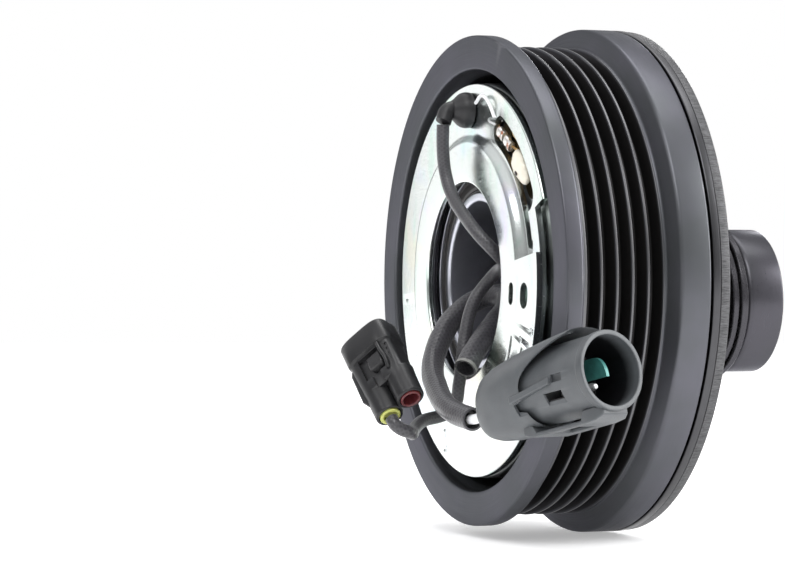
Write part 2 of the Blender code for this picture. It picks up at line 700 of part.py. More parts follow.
def make_armature(parent):
    rear = PULLEY_FRONT_Y - AIR_GAP
    front = rear - ARMATURE_THICKNESS
    rim = FRONT_FLANGE_R
    profile = [
        (ARMATURE_BORE_R, rear),
        (rim - CHAMFER, rear),
        (rim, rear - CHAMFER),
        (rim, front + 2.0),
        (rim - 0.15, front + 1.8),
        (rim - 0.15, front + CHAMFER),
        (rim - 0.15 - CHAMFER, front),
        (ARMATURE_BORE_R, front),
    ]
    plate = add_object("armature_plate", turned(profile, WIDE), parent, GREY_STEEL)
    cuts = []
    for index in range(DAMPER_COUNT):
        between = damper_angle(index) + math.pi / DAMPER_COUNT
        slot = arc_slot(*ARMATURE_SLOT_R, between, math.radians(36))
        cuts.append(extruded([slot], rear + 1.0, front - 1.0))
        centre = polar(DAMPER_PITCH_R, damper_angle(index))
        cuts.append(extruded([circle(3.2, 16, centre)], rear + 1.0, front - 1.0))
    combine(plate, add_cutter("armature_openings", joined(cuts)), "DIFFERENCE")
    for index in range(DAMPER_COUNT):
        pin = [
            (0.0, rear - 0.35),
            (2.9, rear - 0.35),
            (2.9, front - GAP),
            (PIN_R, front - GAP),
            (PIN_R, CUP_FRONT_Y + 2.4),
            (PIN_R - CHAMFER, CUP_FRONT_Y + 2.0),
            (0.0, CUP_FRONT_Y + 2.0),
        ]
        centre = polar(DAMPER_PITCH_R, damper_angle(index))
        shape = turned(pin, 20, centre)
        add_object(f"armature_pin_{index + 1}", shape, parent, DARK_STEEL)


def lobed_outline(lobe_r, steps=10):
    """A triangle with round corners, one about each damper."""
    outline = []
    for index in range(DAMPER_COUNT):
        angle = damper_angle(index)
        centre = polar(DAMPER_PITCH_R, angle)
        reach = math.pi / DAMPER_COUNT
        outline += arc(lobe_r, angle - reach, angle + reach, steps, centre)
    return outline


def make_hub_plates(parent):
    for name, levels, lobe_r in (
        ("hub_plate", HUB_PLATE_Y, LOBE_R),
        ("hub_back_plate", BACK_PLATE_Y, LOBE_R - 0.5),
    ):
        loops = [lobed_outline(lobe_r), circle(HUB_OPENING_R, 48)]
        for index in range(DAMPER_COUNT):
            centre = polar(DAMPER_PITCH_R, damper_angle(index))
            loops.append(circle(PIN_R + GAP, 20, centre))
        add_object(name, extruded(loops, *levels), parent, BLACK_OXIDE)


def scalloped_outline(inner, outer, lobes, steps):
    """A circle that bulges outwards in equal round lobes."""
    outline = []
    for step in range(lobes * steps):
        angle = FULL_TURN * step / (lobes * steps)
        bulge = abs(math.sin(lobes * angle / 2)) ** 0.7
        outline.append(polar(inner + (outer - inner) * bulge, angle))
    return outline


def rivet_centre(index):
    return polar(RIVET_PITCH_R, damper_angle(index) + math.radians(13))


def make_hub_centre(parent):
    boss = turned(
        [
            (0.0, -26.5),
            (10.2, -26.5),
            (10.6, -26.9),
            (10.6, -33.2),
            (23.2, -33.2),
            (23.5, -33.5),
            (23.5, -35.6),
            (BOSS_R, -35.6),
            (BOSS_R, -37.6),
            (BOSS_R - CHAMFER, -38.0),
            (0.0, -38.0),
        ],
        MIDDLE,
    )
    boss = add_object("hub_boss", boss, parent, GREY_STEEL)
    root, tip = SPLINE_R[1], SPLINE_R[0]
    teeth = []
    for tooth in range(SPLINE_TEETH):
        for offset, radius in ((0.0, root), (0.45, root), (0.55, tip), (0.9, tip)):
            teeth.append(polar(radius, FULL_TURN * (tooth + offset) / SPLINE_TEETH))
    spline = extruded([teeth], -25.0, -40.0)
    combine(boss, add_cutter("spline", spline), "DIFFERENCE")
    holes = []
    for index in range(DAMPER_COUNT):
        holes.append(extruded([circle(2.1, 12, rivet_centre(index))], -30.0, -40.0))
    combine(boss, add_cutter("rivet_holes", joined(holes)), "DIFFERENCE")
    loops = [circle(25.4, 48), scalloped_outline(12.6, 16.4, 8, 6)]
    loops += [circle(2.1, 12, rivet_centre(index)) for index in range(DAMPER_COUNT)]
    add_object("hub_disc", extruded(loops, -35.9, -38.05), parent, GREY_STEEL)
    for index in range(DAMPER_COUNT):
        rivet = [(0.0, -33.5), (1.8, -33.5), (1.8, -38.35), (3.0, -38.35), (2.7, -39.2),
                 (1.6, -39.9), (0.0, -40.1)]
        shape = turned(rivet, 14, rivet_centre(index))
        add_object(f"hub_rivet_{index + 1}", shape, parent, GREY_STEEL)


def make_dampers(parent):
    wall_r = CUP_R - 0.9
    floor = CUP_REAR_Y - 1.2
    rim = CUP_FRONT_Y
    cup = [
        (6.0, CUP_REAR_Y),
        (CUP_R - 1.0, CUP_REAR_Y),
        (CUP_R - 0.3, CUP_REAR_Y - 0.35),
        (CUP_R, CUP_REAR_Y - 1.0),
        (CUP_R, rim + 0.3),
        (CUP_R - 0.3, rim),
        (wall_r, rim),
        (wall_r, floor),
        (6.0, floor),
    ]
    rubber_r = wall_r - GAP
    rubber_rear, rubber_front = floor - GAP, rim + 1.9
    rubber = [(5.1, rubber_rear), (rubber_r, rubber_rear), (rubber_r, rubber_front),
              (5.1, rubber_front)]
    cap_r = wall_r - GAP
    cap = [
        (0.0, rim + 1.3),
        (cap_r, rim + 1.3),
        (cap_r, rim + 0.3),
        (cap_r - 0.3, rim + 0.1),
        (12.2, rim + 0.1),
        (11.5, rim + 0.7),
        (8.8, rim + 0.7),
        (8.2, rim + 0.3),
        (5.4, rim + 0.3),
        (4.8, rim + 0.6),
        (0.0, rim + 0.6),
    ]
    for index in range(DAMPER_COUNT):
        centre = polar(DAMPER_PITCH_R, damper_angle(index))
        number = index + 1
        add_object(f"damper_cup_{number}", turned(cup, 24, centre), parent, BLACK_OXIDE)
        add_object(f"damper_rubber_{number}", turned(rubber, 24, centre), parent, BLACK_RUBBER)
        add_object(f"damper_cap_{number}", turned(cap, 24, centre), parent, DARK_STEEL)


def main():
    clear_scene()
    coil = body_frame("coil_frame")
    rotor = body_frame("rotor_frame")
    cage = body_frame("cage_frame")
    hub = body_frame("hub_frame")
    armature = body_frame("armature_frame")
    make_pulley(rotor)
    make_bearing(coil, rotor, cage)
    make_coil(coil)
    make_mounting_plate(coil)
    make_coil_connections(coil)
    make_leads()
    make_main_plug()
    make_small_plug()
    make_armature(armature)
    make_hub_plates(hub)
    make_hub_centre(hub)
    make_dampers(hub)


main()
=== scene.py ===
"""Looks for the electromagnetic clutch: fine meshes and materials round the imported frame, in metres.

The shaft axis is Y, the compressor side is +Y and the hub side is -Y. Sizes below are in millimetres.
"""

import math

import bmesh
import bpy
from mathutils import Matrix, Vector, geometry, noise


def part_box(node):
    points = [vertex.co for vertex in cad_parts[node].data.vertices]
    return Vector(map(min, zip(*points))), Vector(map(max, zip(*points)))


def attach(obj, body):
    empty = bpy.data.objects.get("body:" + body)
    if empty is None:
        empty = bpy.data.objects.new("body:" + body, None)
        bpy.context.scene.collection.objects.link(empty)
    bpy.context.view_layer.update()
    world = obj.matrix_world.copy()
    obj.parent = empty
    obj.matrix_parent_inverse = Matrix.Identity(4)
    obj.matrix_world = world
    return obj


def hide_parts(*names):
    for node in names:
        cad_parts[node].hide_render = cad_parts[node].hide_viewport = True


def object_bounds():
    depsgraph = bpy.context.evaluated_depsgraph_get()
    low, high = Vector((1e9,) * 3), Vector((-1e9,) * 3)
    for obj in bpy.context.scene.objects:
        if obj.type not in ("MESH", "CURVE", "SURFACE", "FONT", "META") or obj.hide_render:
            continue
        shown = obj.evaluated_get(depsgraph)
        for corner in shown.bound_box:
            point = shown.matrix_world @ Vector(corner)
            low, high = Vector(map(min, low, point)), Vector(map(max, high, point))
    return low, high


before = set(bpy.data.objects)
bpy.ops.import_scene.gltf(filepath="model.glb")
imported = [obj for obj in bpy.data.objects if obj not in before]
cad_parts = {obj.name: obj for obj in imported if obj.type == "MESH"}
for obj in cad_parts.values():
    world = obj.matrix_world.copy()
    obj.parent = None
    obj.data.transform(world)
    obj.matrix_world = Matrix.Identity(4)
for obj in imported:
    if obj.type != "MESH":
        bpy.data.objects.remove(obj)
CAD_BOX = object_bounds()

MM = 0.001
TURN = 2 * math.pi
GAP = 0.3


# ---------------------------------------------------------------- levels and radii read from the frame


def box_mm(node):
    low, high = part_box(node)
    return [c / MM for c in low], [c / MM for c in high]


def levels(node):
    """Where a node of the frame ends along the axis: its rear and its front."""
    low, high = box_mm(node)
    return high[1], low[1]


REAR_Y, PULLEY_FRONT_Y = levels("pulley")
RIM_FRONT_R = box_mm("pulley")[1][0]
BEARING_REAR_Y, BEARING_FRONT_Y = levels("bearing_inner_race")
PLATE_RAISED_Y = levels("coil_mounting_plate")[0]
PLATE_OUTER_Y = PLATE_RAISED_Y - 2.0
ARMATURE_REAR_Y, ARMATURE_FRONT_Y = levels("armature_plate")


def centre_mm(node):
    low, high = box_mm(node)
    return ((low[0] + high[0]) / 2, (low[2] + high[2]) / 2)


DAMPER_CENTRES = [centre_mm(f"damper_cup_{number}") for number in (1, 2, 3)]
RIVET_CENTRES = [centre_mm(f"hub_rivet_{number}") for number in (1, 2, 3)]
CUP_LOW, CUP_HIGH = box_mm("damper_cup_1")
CUP_R = (CUP_HIGH[0] - CUP_LOW[0]) / 2
CUP_REAR_Y, CUP_FRONT_Y = levels("damper_cup_1")
DAMPER_ANGLES = [math.atan2(z, x) for x, z in DAMPER_CENTRES]


# ---------------------------------------------------------------- material nodes


class Nodes:
    """A new material and short calls that add nodes to it."""

    def __init__(self, name):
        self.material = bpy.data.materials.new(name)
        self.material.use_nodes = True
        self.tree = self.material.node_tree
        self.shader = self.tree.nodes["Principled BSDF"]

    def add(self, kind, **settings):
        node = self.tree.nodes.new("ShaderNode" + kind)
        for key, value in settings.items():
            setattr(node, key, value)
        return node

    def link(self, source, target):
        self.tree.links.new(source, target)

    def put(self, target, value):
        if isinstance(value, bpy.types.NodeSocket):
            self.link(value, target)
        else:
            target.default_value = value

    def math(self, operation, first, second=0.0, clamp=False):
        node = self.add("Math", operation=operation, use_clamp=clamp)
        self.put(node.inputs[0], first)
        self.put(node.inputs[1], second)
        return node.outputs[0]

    def place(self, stretch=(1, 1, 1)):
        """Object coordinates in millimetres, squeezed by stretch."""
        where = self.add("TexCoord").outputs["Object"]
        mapping = self.add("Mapping")
        self.link(where, mapping.inputs["Vector"])
        mapping.inputs["Scale"].default_value = [s / MM for s in stretch]
        return mapping.outputs["Vector"]

    def polar(self, along=1.0, around=1.0, outwards=1.0):
        """Coordinates that follow the turning marks of a piece on the shaft axis."""
        parts = self.add("SeparateXYZ")
        self.link(self.place(), parts.inputs[0])
        x, y, z = parts.outputs
        squares = self.math("ADD", self.math("MULTIPLY", x, x), self.math("MULTIPLY", z, z))
        radius = self.math("SQRT", squares)
        angle = self.math("ARCTAN2", z, x)
        joined = self.add("CombineXYZ")
        self.link(self.math("MULTIPLY", radius, outwards), joined.inputs[0])
        self.link(self.math("MULTIPLY", y, along), joined.inputs[1])
        self.link(self.math("MULTIPLY", angle, around), joined.inputs[2])
        return joined.outputs[0]

    def inside(self, place, radius, depth):
        """1 inside a round socket along the X axis of place, 0 outside it."""
        offset = self.add("VectorMath", operation="SUBTRACT")
        self.link(self.place(), offset.inputs[0])
        offset.inputs[1].default_value = place.translation
        lengths = []
        for axis in place.to_3x3().transposed():
            product = self.add("VectorMath", operation="DOT_PRODUCT")
            self.link(offset.outputs[0], product.inputs[0])
            product.inputs[1].default_value = axis
            lengths.append(product.outputs["Value"])
        along, across, up = lengths
        squares = self.math("ADD", self.math("MULTIPLY", across, across), self.math("MULTIPLY", up, up))
        near = self.span(self.math("SQRT", squares), radius, radius + 0.1, 1.0, 0.0)
        return self.math("MULTIPLY", near, self.span(along, -depth, -0.3 * depth, 1.0, 0.0))

    def noise(self, vector, scale, detail=3.0, roughness=0.55):
        node = self.add("TexNoise")
        self.link(vector, node.inputs["Vector"])
        node.inputs["Scale"].default_value = scale
        node.inputs["Detail"].default_value = detail
        node.inputs["Roughness"].default_value = roughness
        return node.outputs["Fac"]

    def ramp(self, source, *stops):
        node = self.add("ValToRGB")
        self.link(source, node.inputs[0])
        elements = node.color_ramp.elements
        while len(elements) < len(stops):
            elements.new(0.5)
        for element, (position, colour) in zip(elements, stops):
            element.position = position
            element.color = (*colour, 1.0) if len(colour) == 3 else colour
        return node.outputs[0]

    def span(self, source, low, high, out_low, out_high):
        node = self.add("MapRange")
        self.link(source, node.inputs["Value"])
        for key, value in (("From Min", low), ("From Max", high), ("To Min", out_low), ("To Max", out_high)):
            node.inputs[key].default_value = value
        return node.outputs[0]

    def mix(self, factor, first, second, blend="MIX"):
        node = self.add("Mix", data_type="RGBA", blend_type=blend)
        self.put(node.inputs[0], factor)
        for socket, value in ((node.inputs[6], first), (node.inputs[7], second)):
            if not isinstance(value, bpy.types.NodeSocket) and len(value) == 3:
                value = (*value, 1.0)
            self.put(socket, value)
        return node.outputs[2]

    def bump(self, height, strength, distance_mm, below=None):
        node = self.add("Bump")
        self.link(height, node.inputs["Height"])
        node.inputs["Strength"].default_value = strength
        node.inputs["Distance"].default_value = distance_mm * MM
        if below is not None:
            self.link(below, node.inputs["Normal"])
        return node.outputs["Normal"]

    def edges(self, low=0.52, high=0.62):
        """1 on outward edges, 0 elsewhere."""
        return self.span(self.add("NewGeometry").outputs["Pointiness"], low, high, 0.0, 1.0)

    def finish(self, colour=None, roughness=None, normal=None, metallic=0.0, **others):
        inputs = self.shader.inputs
        if colour is not None:
            self.put(inputs["Base Color"], colour if not isinstance(colour, tuple) else (*colour, 1.0))
        if roughness is not None:
            self.put(inputs["Roughness"], roughness)
        if normal is not None:
            self.put(inputs["Normal"], normal)
        inputs["Metallic"].default_value = metallic
        for key, value in others.items():
            inputs[key.replace("_", " ")].default_value = value
        return self.material


# ---------------------------------------------------------------- mesh building, in millimetres


def filleted(corners, steps=4):
    """A closed loop with round corners. Each corner is (radius, y, how far the round reaches)."""
    loop = []
    for index, (radius, y, reach) in enumerate(corners):
        here = Vector((radius, y))
        before = Vector(corners[index - 1][:2]) - here
        after = Vector(corners[(index + 1) % len(corners)][:2]) - here
        if reach <= 0:
            loop.append((radius, y))
            continue
        start = here + before.normalized() * min(reach, before.length * 0.49)
        end = here + after.normalized() * min(reach, after.length * 0.49)
        for step in range(steps + 1):
            t = step / steps
            point = start * (1 - t) ** 2 + here * 2 * t * (1 - t) + end * t * t
            loop.append((point.x, point.y))
    return loop


def turned(profile, segments, centre=(0.0, 0.0)):
    """A solid of revolution about a line along Y. profile is a closed loop of (radius, y)."""
    built = bmesh.new()
    rings = []
    for radius, y in profile:
        if radius < 1e-6:
            rings.append([built.verts.new((centre[0], y, centre[1]))])
            continue
        ring = []
        for step in range(segments):
            angle = TURN * step / segments
            x = centre[0] + radius * math.cos(angle)
            ring.append(built.verts.new((x, y, centre[1] + radius * math.sin(angle))))
        rings.append(ring)
    for ring, following in zip(rings, rings[1:] + rings[:1]):
        for step in range(segments):
            ahead = (step + 1) % segments
            if len(ring) == 1 and len(following) == 1:
                break
            if len(ring) == 1:
                built.faces.new((ring[0], following[ahead], following[step]))
            elif len(following) == 1:
                built.faces.new((ring[step], ring[ahead], following[0]))
            else:
                built.faces.new((ring[step], ring[ahead], following[ahead], following[step]))
    return built


def extruded(loops, y_rear, y_front):
    """A flat solid between two planes across Y. The first loop is its outline, the rest are holes."""
    built = bmesh.new()
    edges = []
    for loop in loops:
        corners = [built.verts.new((x, y_rear, z)) for x, z in loop]
        for corner, following in zip(corners, corners[1:] + corners[:1]):
            edges.append(built.edges.new((corner, following)))
    filled = bmesh.ops.triangle_fill(built, use_beauty=True, use_dissolve=False, edges=edges)
    faces = [item for item in filled["geom"] if isinstance(item, bmesh.types.BMFace)]
    lifted = bmesh.ops.extrude_face_region(built, geom=faces)["geom"]
    moved = [item for item in lifted if isinstance(item, bmesh.types.BMVert)]
    bmesh.ops.translate(built, verts=moved, vec=(0, y_front - y_rear, 0))
    return built


def polar(radius, angle, centre=(0.0, 0.0)):
    return (centre[0] + radius * math.cos(angle), centre[1] + radius * math.sin(angle))


def arc(radius, start, end, steps, centre=(0.0, 0.0)):
    return [polar(radius, start + (end - start) * i / steps, centre) for i in range(steps + 1)]


def circle(radius, steps, centre=(0.0, 0.0)):
    return arc(radius, 0.0, TURN, steps, centre)[:-1]


def arc_slot(inner, outer, middle, half_angle, steps=24, end_steps=12):
    """The outline of a slot that follows a circle about the axis and has round ends."""
    mean = (inner + outer) / 2
    round_r = (outer - inner) / 2
    reach = half_angle - round_r / mean
    first, last = middle - reach, middle + reach
    loop = arc(outer, first, last, steps)
    loop += arc(round_r, last, last + math.pi, end_steps, polar(mean, last))[1:-1]
    loop += arc(inner, last, first, steps)
    loop += arc(round_r, first + math.pi, first + TURN, end_steps, polar(mean, first))[1:-1]
    return loop


def sector(inner, outer, start_degrees, end_degrees, steps=24):
    start, end = math.radians(start_degrees), math.radians(end_degrees)
    return arc(outer, start, end, steps) + arc(inner, end, start, steps)


def skinned(rings, looped=False):
    """A body through rings of equal length, with capped ends or with the last ring joined to the first."""
    built = bmesh.new()
    made = [[built.verts.new(point) for point in ring] for ring in rings]
    built.verts.index_update()
    sides = len(made[0])
    for ring, following in zip(made, made[1:] + made[:1] if looped else made[1:]):
        for step in range(sides):
            ahead = (step + 1) % sides
            built.faces.new((ring[step], ring[ahead], following[ahead], following[step]))
    if not looped:
        built.faces.new(made[0])
        built.faces.new(made[-1])
    return built


def rounded_ring(x, half_width, half_height, rise, squareness, sides=64):
    """A rounded section across X. A squareness of 2 is an ellipse."""
    ring = []
    for step in range(sides):
        angle = TURN * step / sides
        across, up = math.cos(angle), math.sin(angle)
        y = half_width * math.copysign(abs(across) ** (2 / squareness), across)
        z = rise + half_height * math.copysign(abs(up) ** (2 / squareness), up)
        ring.append((x, y, z))
    return ring


def block(low, high):
    built = bmesh.new()
    bmesh.ops.create_cube(built, size=1.0)
    size = [high[axis] - low[axis] for axis in range(3)]
    bmesh.ops.scale(built, vec=size, verts=built.verts)
    middle = [(high[axis] + low[axis]) / 2 for axis in range(3)]
    bmesh.ops.translate(built, vec=middle, verts=built.verts)
    return built


def joined(parts):
    """One bmesh that holds several separate closed bodies."""
    whole = bmesh.new()
    for part in parts:
        piece = bpy.data.meshes.new("joined_part")
        part.to_mesh(piece)
        part.free()
        whole.from_mesh(piece)
        bpy.data.meshes.remove(piece)
    return whole


def turned_on_x(corners, segments, across=0.0, up=0.0):
    """A solid of revolution about a line along X. Each corner is (radius, x, how far the round reaches)."""
    built = turned(filleted(corners), segments)
    turn = Matrix.Rotation(math.radians(-90), 3, "Z")
    bmesh.ops.rotate(built, verts=built.verts, cent=(0, 0, 0), matrix=turn)
    bmesh.ops.translate(built, verts=built.verts, vec=(0, across, up))
    return built


def barred(sections):
    """A body through rectangles across X. Each is x, one side, the other side, one level, the other level."""
    rings = []
    for x, near, far, low, high in sections:
        rings.append([(x, near, low), (x, far, low), (x, far, high), (x, near, high)])
    return skinned(rings)


def smooth_line(points, steps=12):
    """Points along a smooth curve through the given ones."""
    curve = bpy.data.curves.new("guide", "CURVE")
    curve.dimensions = "3D"
    spline = curve.splines.new("BEZIER")
    spline.bezier_points.add(len(points) - 1)
    for knot, point in zip(spline.bezier_points, points):
        knot.co = Vector(point)
        knot.handle_left_type = "AUTO"
        knot.handle_right_type = "AUTO"
    guide = bpy.data.objects.new("guide", curve)
    bpy.context.collection.objects.link(guide)
    bpy.context.view_layer.update()
    line = []
    knots = spline.bezier_points
    for near, far in zip(knots, knots[1:]):
        part = geometry.interpolate_bezier(near.co, near.handle_right, far.handle_left, far.co, steps + 1)
        line += [p.to_3d() for p in part[:-1]]
    line.append(knots[-1].co.copy())
    bpy.data.objects.remove(guide, do_unlink=True)
    return line


def frames_along(line):
    """At each point of a line, two directions across it that don't twist."""
    frames = []
    across = None
    for index, point in enumerate(line):
        ahead = line[min(index + 1, len(line) - 1)] - line[max(index - 1, 0)]
        ahead.normalize()
        if across is None:
            across = ahead.orthogonal().normalized()
        across = (across - ahead * across.dot(ahead)).normalized()
        frames.append((point, across.copy(), ahead.cross(across)))
    return frames


def tube(line, radius, sides=24, uneven=0.0, wall=None, seed=0.0):
    """A round tube along a line, solid or, with a wall, open at both ends."""
    frames = frames_along(line)

    def rings(r, backwards=False):
        made = []
        for point, across, over in frames[::-1] if backwards else frames:
            ring = []
            for step in range(sides):
                angle = TURN * step / sides
                out = across * math.cos(angle) + over * math.sin(angle)
                where = (point + out * r) * 0.35 + Vector((seed, seed, seed))
                ring.append(point + out * (r + uneven * noise.noise(where)))
            made.append(ring)
        return made

    if wall is None:
        return along_uv(skinned(rings(radius)), line, sides)
    loops = rings(radius) + rings(radius - wall, backwards=True)
    return along_uv(skinned(loops, looped=True), line, sides)


def along_uv(built, line, sides):
    """Add a UV map whose U runs along the tube in millimetres and whose V runs round it."""
    lengths = [0.0]
    for near, far in zip(line, line[1:]):
        lengths.append(lengths[-1] + (far - near).length)
    layer = built.loops.layers.uv.new("along")
    total = len(line)
    for face in built.faces:
        steps = [loop.vert.index for loop in face.loops]
        for loop, index in zip(face.loops, steps):
            ring, step = divmod(index, sides)
            ring = ring if ring < total else 2 * total - 1 - ring
            round_turn = step / sides
            if step == 0 and any(other % sides == sides - 1 for other in steps):
                round_turn = 1.0
            loop[layer].uv = (lengths[max(0, min(ring, total - 1))], round_turn)
    return built


def piece(name, built, material, body, stands_for=(), slot=None, place=None, angle=34, bevel=None):
    """Turn a bmesh in millimetres into a finished piece that rides on a body."""
    bmesh.ops.recalc_face_normals(built, faces=built.faces)
    bmesh.ops.scale(built, vec=(MM, MM, MM), verts=built.verts)
    mesh = bpy.data.meshes.new(name)
    built.to_mesh(mesh)
    built.free()
    if place is not None:
        turn = place.to_3x3().to_4x4()
        mesh.transform(Matrix.Translation(place.translation * MM) @ turn)
    mesh.shade_smooth()
    mesh.set_sharp_from_angle(angle=math.radians(angle))
    obj = bpy.data.objects.new(name, mesh)
    bpy.context.collection.objects.link(obj)
    mesh.materials.append(material)
    if body is not None:
        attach(obj, body)
    if stands_for:
        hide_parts(*stands_for)
    if bevel:
        soften(obj, bevel)
    return obj


def lathe(name, corners, segments, *details, centre=(0.0, 0.0), steps=4):
    """A finished piece turned about a line along Y. details are what piece() takes after the shape."""
    return piece(name, turned(filleted(corners, steps), segments, centre), *details)


def soften(obj, width_mm, segments=2, angle=40):
    edge = obj.modifiers.new("soft_edges", "BEVEL")
    edge.width = width_mm * MM
    edge.segments = segments
    edge.limit_method = "ANGLE"
    edge.angle_limit = math.radians(angle)
    edge.use_clamp_overlap = True
    edge.harden_normals = False


def cut(obj, built, operation="DIFFERENCE", place=None, overlapping=False):
    """Cut or unite a shape in millimetres; overlapping is for a shape whose own parts overlap."""
    tool = piece("tool", built, obj.data.materials[0], None, place=place)
    modifier = obj.modifiers.new("cut", "BOOLEAN")
    modifier.operation = operation
    modifier.object = tool
    modifier.solver = "EXACT"
    modifier.use_self = overlapping
    graph = bpy.context.evaluated_depsgraph_get()
    result = bpy.data.meshes.new_from_object(obj.evaluated_get(graph))
    obj.modifiers.remove(modifier)
    cleaned = bmesh.new()
    cleaned.from_mesh(result)
    bmesh.ops.remove_doubles(cleaned, verts=cleaned.verts, dist=0.002 * MM)
    bmesh.ops.dissolve_degenerate(cleaned, edges=cleaned.edges, dist=0.002 * MM)
    cleaned.to_mesh(result)
    cleaned.free()
    old = obj.data
    obj.data = result
    result.name = obj.name
    bpy.data.meshes.remove(old)
    bpy.data.objects.remove(tool, do_unlink=True)
    while len(result.materials) > 1:
        result.materials.pop()
    result.shade_smooth()
    result.set_sharp_from_angle(angle=math.radians(34))


# ---------------------------------------------------------------- materials


def coated_steel(name, base, gloss, worn=(0.20, 0.20, 0.21), around=0.6, wear=0.7, shaded_grooves=None):
    """Dark satin coating over turned steel: fine rings, a colour drift and bright edges.

    The last argument is the radius, middle and half width of a band whose grooves, below that radius, get
    painted shade."""
    n = Nodes(name)
    marks = n.polar(along=1.0, around=around)
    rings = n.noise(marks, 5.0, 4.0, 0.7)
    drift = n.noise(n.place(), 0.05, 3.0)
    tint = n.ramp(drift, (0.35, base), (0.65, tuple(c * k for c, k in zip(base, (1.22, 1.16, 1.26)))))
    fine = n.noise(n.place(), 2.2, 5.0, 0.6)
    rubbed = n.math("MULTIPLY", n.edges(0.53, 0.60), n.span(fine, 0.35, 0.6, 0.25, wear))
    colour = n.mix(rubbed, tint, worn)
    if shaded_grooves is not None:
        radius, middle, half = shaded_grooves
        parts = n.add("SeparateXYZ")
        n.link(n.polar(), parts.inputs[0])
        off_middle = n.math("ABSOLUTE", n.math("SUBTRACT", parts.outputs[1], middle))
        groove_shade = n.span(parts.outputs[0], radius - 0.5, radius - 0.1, 1.0, 0.0)
        within = n.span(off_middle, half - 0.1, half + 0.1, 1.0, 0.0)
        # painted shade: the grooves below the rib tips inside the band are coloured near black
        colour = n.mix(n.math("MULTIPLY", groove_shade, within), colour, (0.017, 0.016, 0.016))
    rough = n.math("ADD", n.span(rings, 0.3, 0.7, gloss - 0.05, gloss + 0.08), n.math("MULTIPLY", fine, 0.08))
    normal = n.bump(rings, 0.10, 0.03, n.bump(fine, 0.12, 0.02))
    return n.finish(colour, rough, normal, 0.75, Specular_Tint=(0.45, 0.45, 0.48, 1.0))


def bright_steel(name, base, gloss, around=0.3, strength=0.12):
    """Ground steel with fine rings."""
    n = Nodes(name)
    rings = n.noise(n.polar(along=1.6, around=around), 6.0, 5.0, 0.7)
    stain = n.noise(n.place(), 0.12, 4.0, 0.6)
    colour = n.ramp(stain, (0.3, tuple(c * 0.82 for c in base)), (0.7, base))
    rough = n.span(rings, 0.25, 0.75, gloss - 0.05, gloss + 0.10)
    return n.finish(colour, rough, n.bump(rings, strength, 0.02), 1.0)


def zinc_plate(name):
    """Bright zinc with the faint yellow, green, blue and pink of its passivation."""
    n = Nodes(name)
    base = (0.68, 0.72, 0.70)
    first = n.noise(n.place(), 0.045, 3.0, 0.6)
    second = n.noise(n.place((1.0, 1.0, 0.4)), 0.11, 4.0, 0.55)
    warm = n.ramp(first, (0.34, (0.60, 0.68, 0.80)), (0.46, base), (0.56, base), (0.68, (0.78, 0.75, 0.58)))
    cool = n.ramp(second, (0.36, (0.50, 0.70, 0.60)), (0.47, base), (0.58, base), (0.70, (0.74, 0.64, 0.73)))
    colour = n.mix(0.5, warm, cool)
    scuffs = n.noise(n.place((0.4, 1.0, 3.0)), 0.9, 5.0, 0.7)
    grain = n.noise(n.place(), 3.0, 4.0)
    colour = n.mix(n.span(scuffs, 0.60, 0.72, 0.0, 0.35), colour, (0.45, 0.47, 0.48))
    rough = n.math("ADD", n.span(scuffs, 0.35, 0.7, 0.13, 0.26), n.math("MULTIPLY", grain, 0.05))
    normal = n.bump(grain, 0.06, 0.02, n.bump(n.noise(n.place(), 0.25, 2.0), 0.10, 0.12))
    return n.finish(colour, rough, normal, 1.0)


def moulded(
    name, base, gloss, lighter=1.25, grain_scale=4.0, strength=0.22, spots=0.0, socket=None, **others
):
    """Moulded plastic or rubber: fine grain, slow mottling and paler edges.

    socket is the place, radius and depth of a round hole whose inside is painted near black as painted shade."""
    n = Nodes(name)
    mottle = n.noise(n.place(), 0.22, 4.0, 0.6)
    pale = tuple(min(1.0, c * lighter) for c in base)
    colour = n.ramp(mottle, (0.35, base), (0.68, pale))
    edge_colour = tuple(min(1.0, c * 1.8 + 0.02) for c in base)
    colour = n.mix(n.math("MULTIPLY", n.edges(0.55, 0.66), 0.5), colour, edge_colour)
    grain = n.noise(n.place(), grain_scale, 4.0, 0.65)
    if spots:
        dust = n.noise(n.place(), 1.4, 2.0)
        colour = n.mix(n.span(dust, 0.70, 0.78, 0.0, spots), colour, (0.5, 0.5, 0.5))
    if socket is not None:
        # painted shade: near black inside the socket, where shade falls
        colour = n.mix(n.inside(*socket), colour, (0.004, 0.004, 0.005))
    rough = n.span(grain, 0.3, 0.7, gloss - 0.06, gloss + 0.10)
    return n.finish(colour, rough, n.bump(grain, strength, 0.04), 0.0, **others)


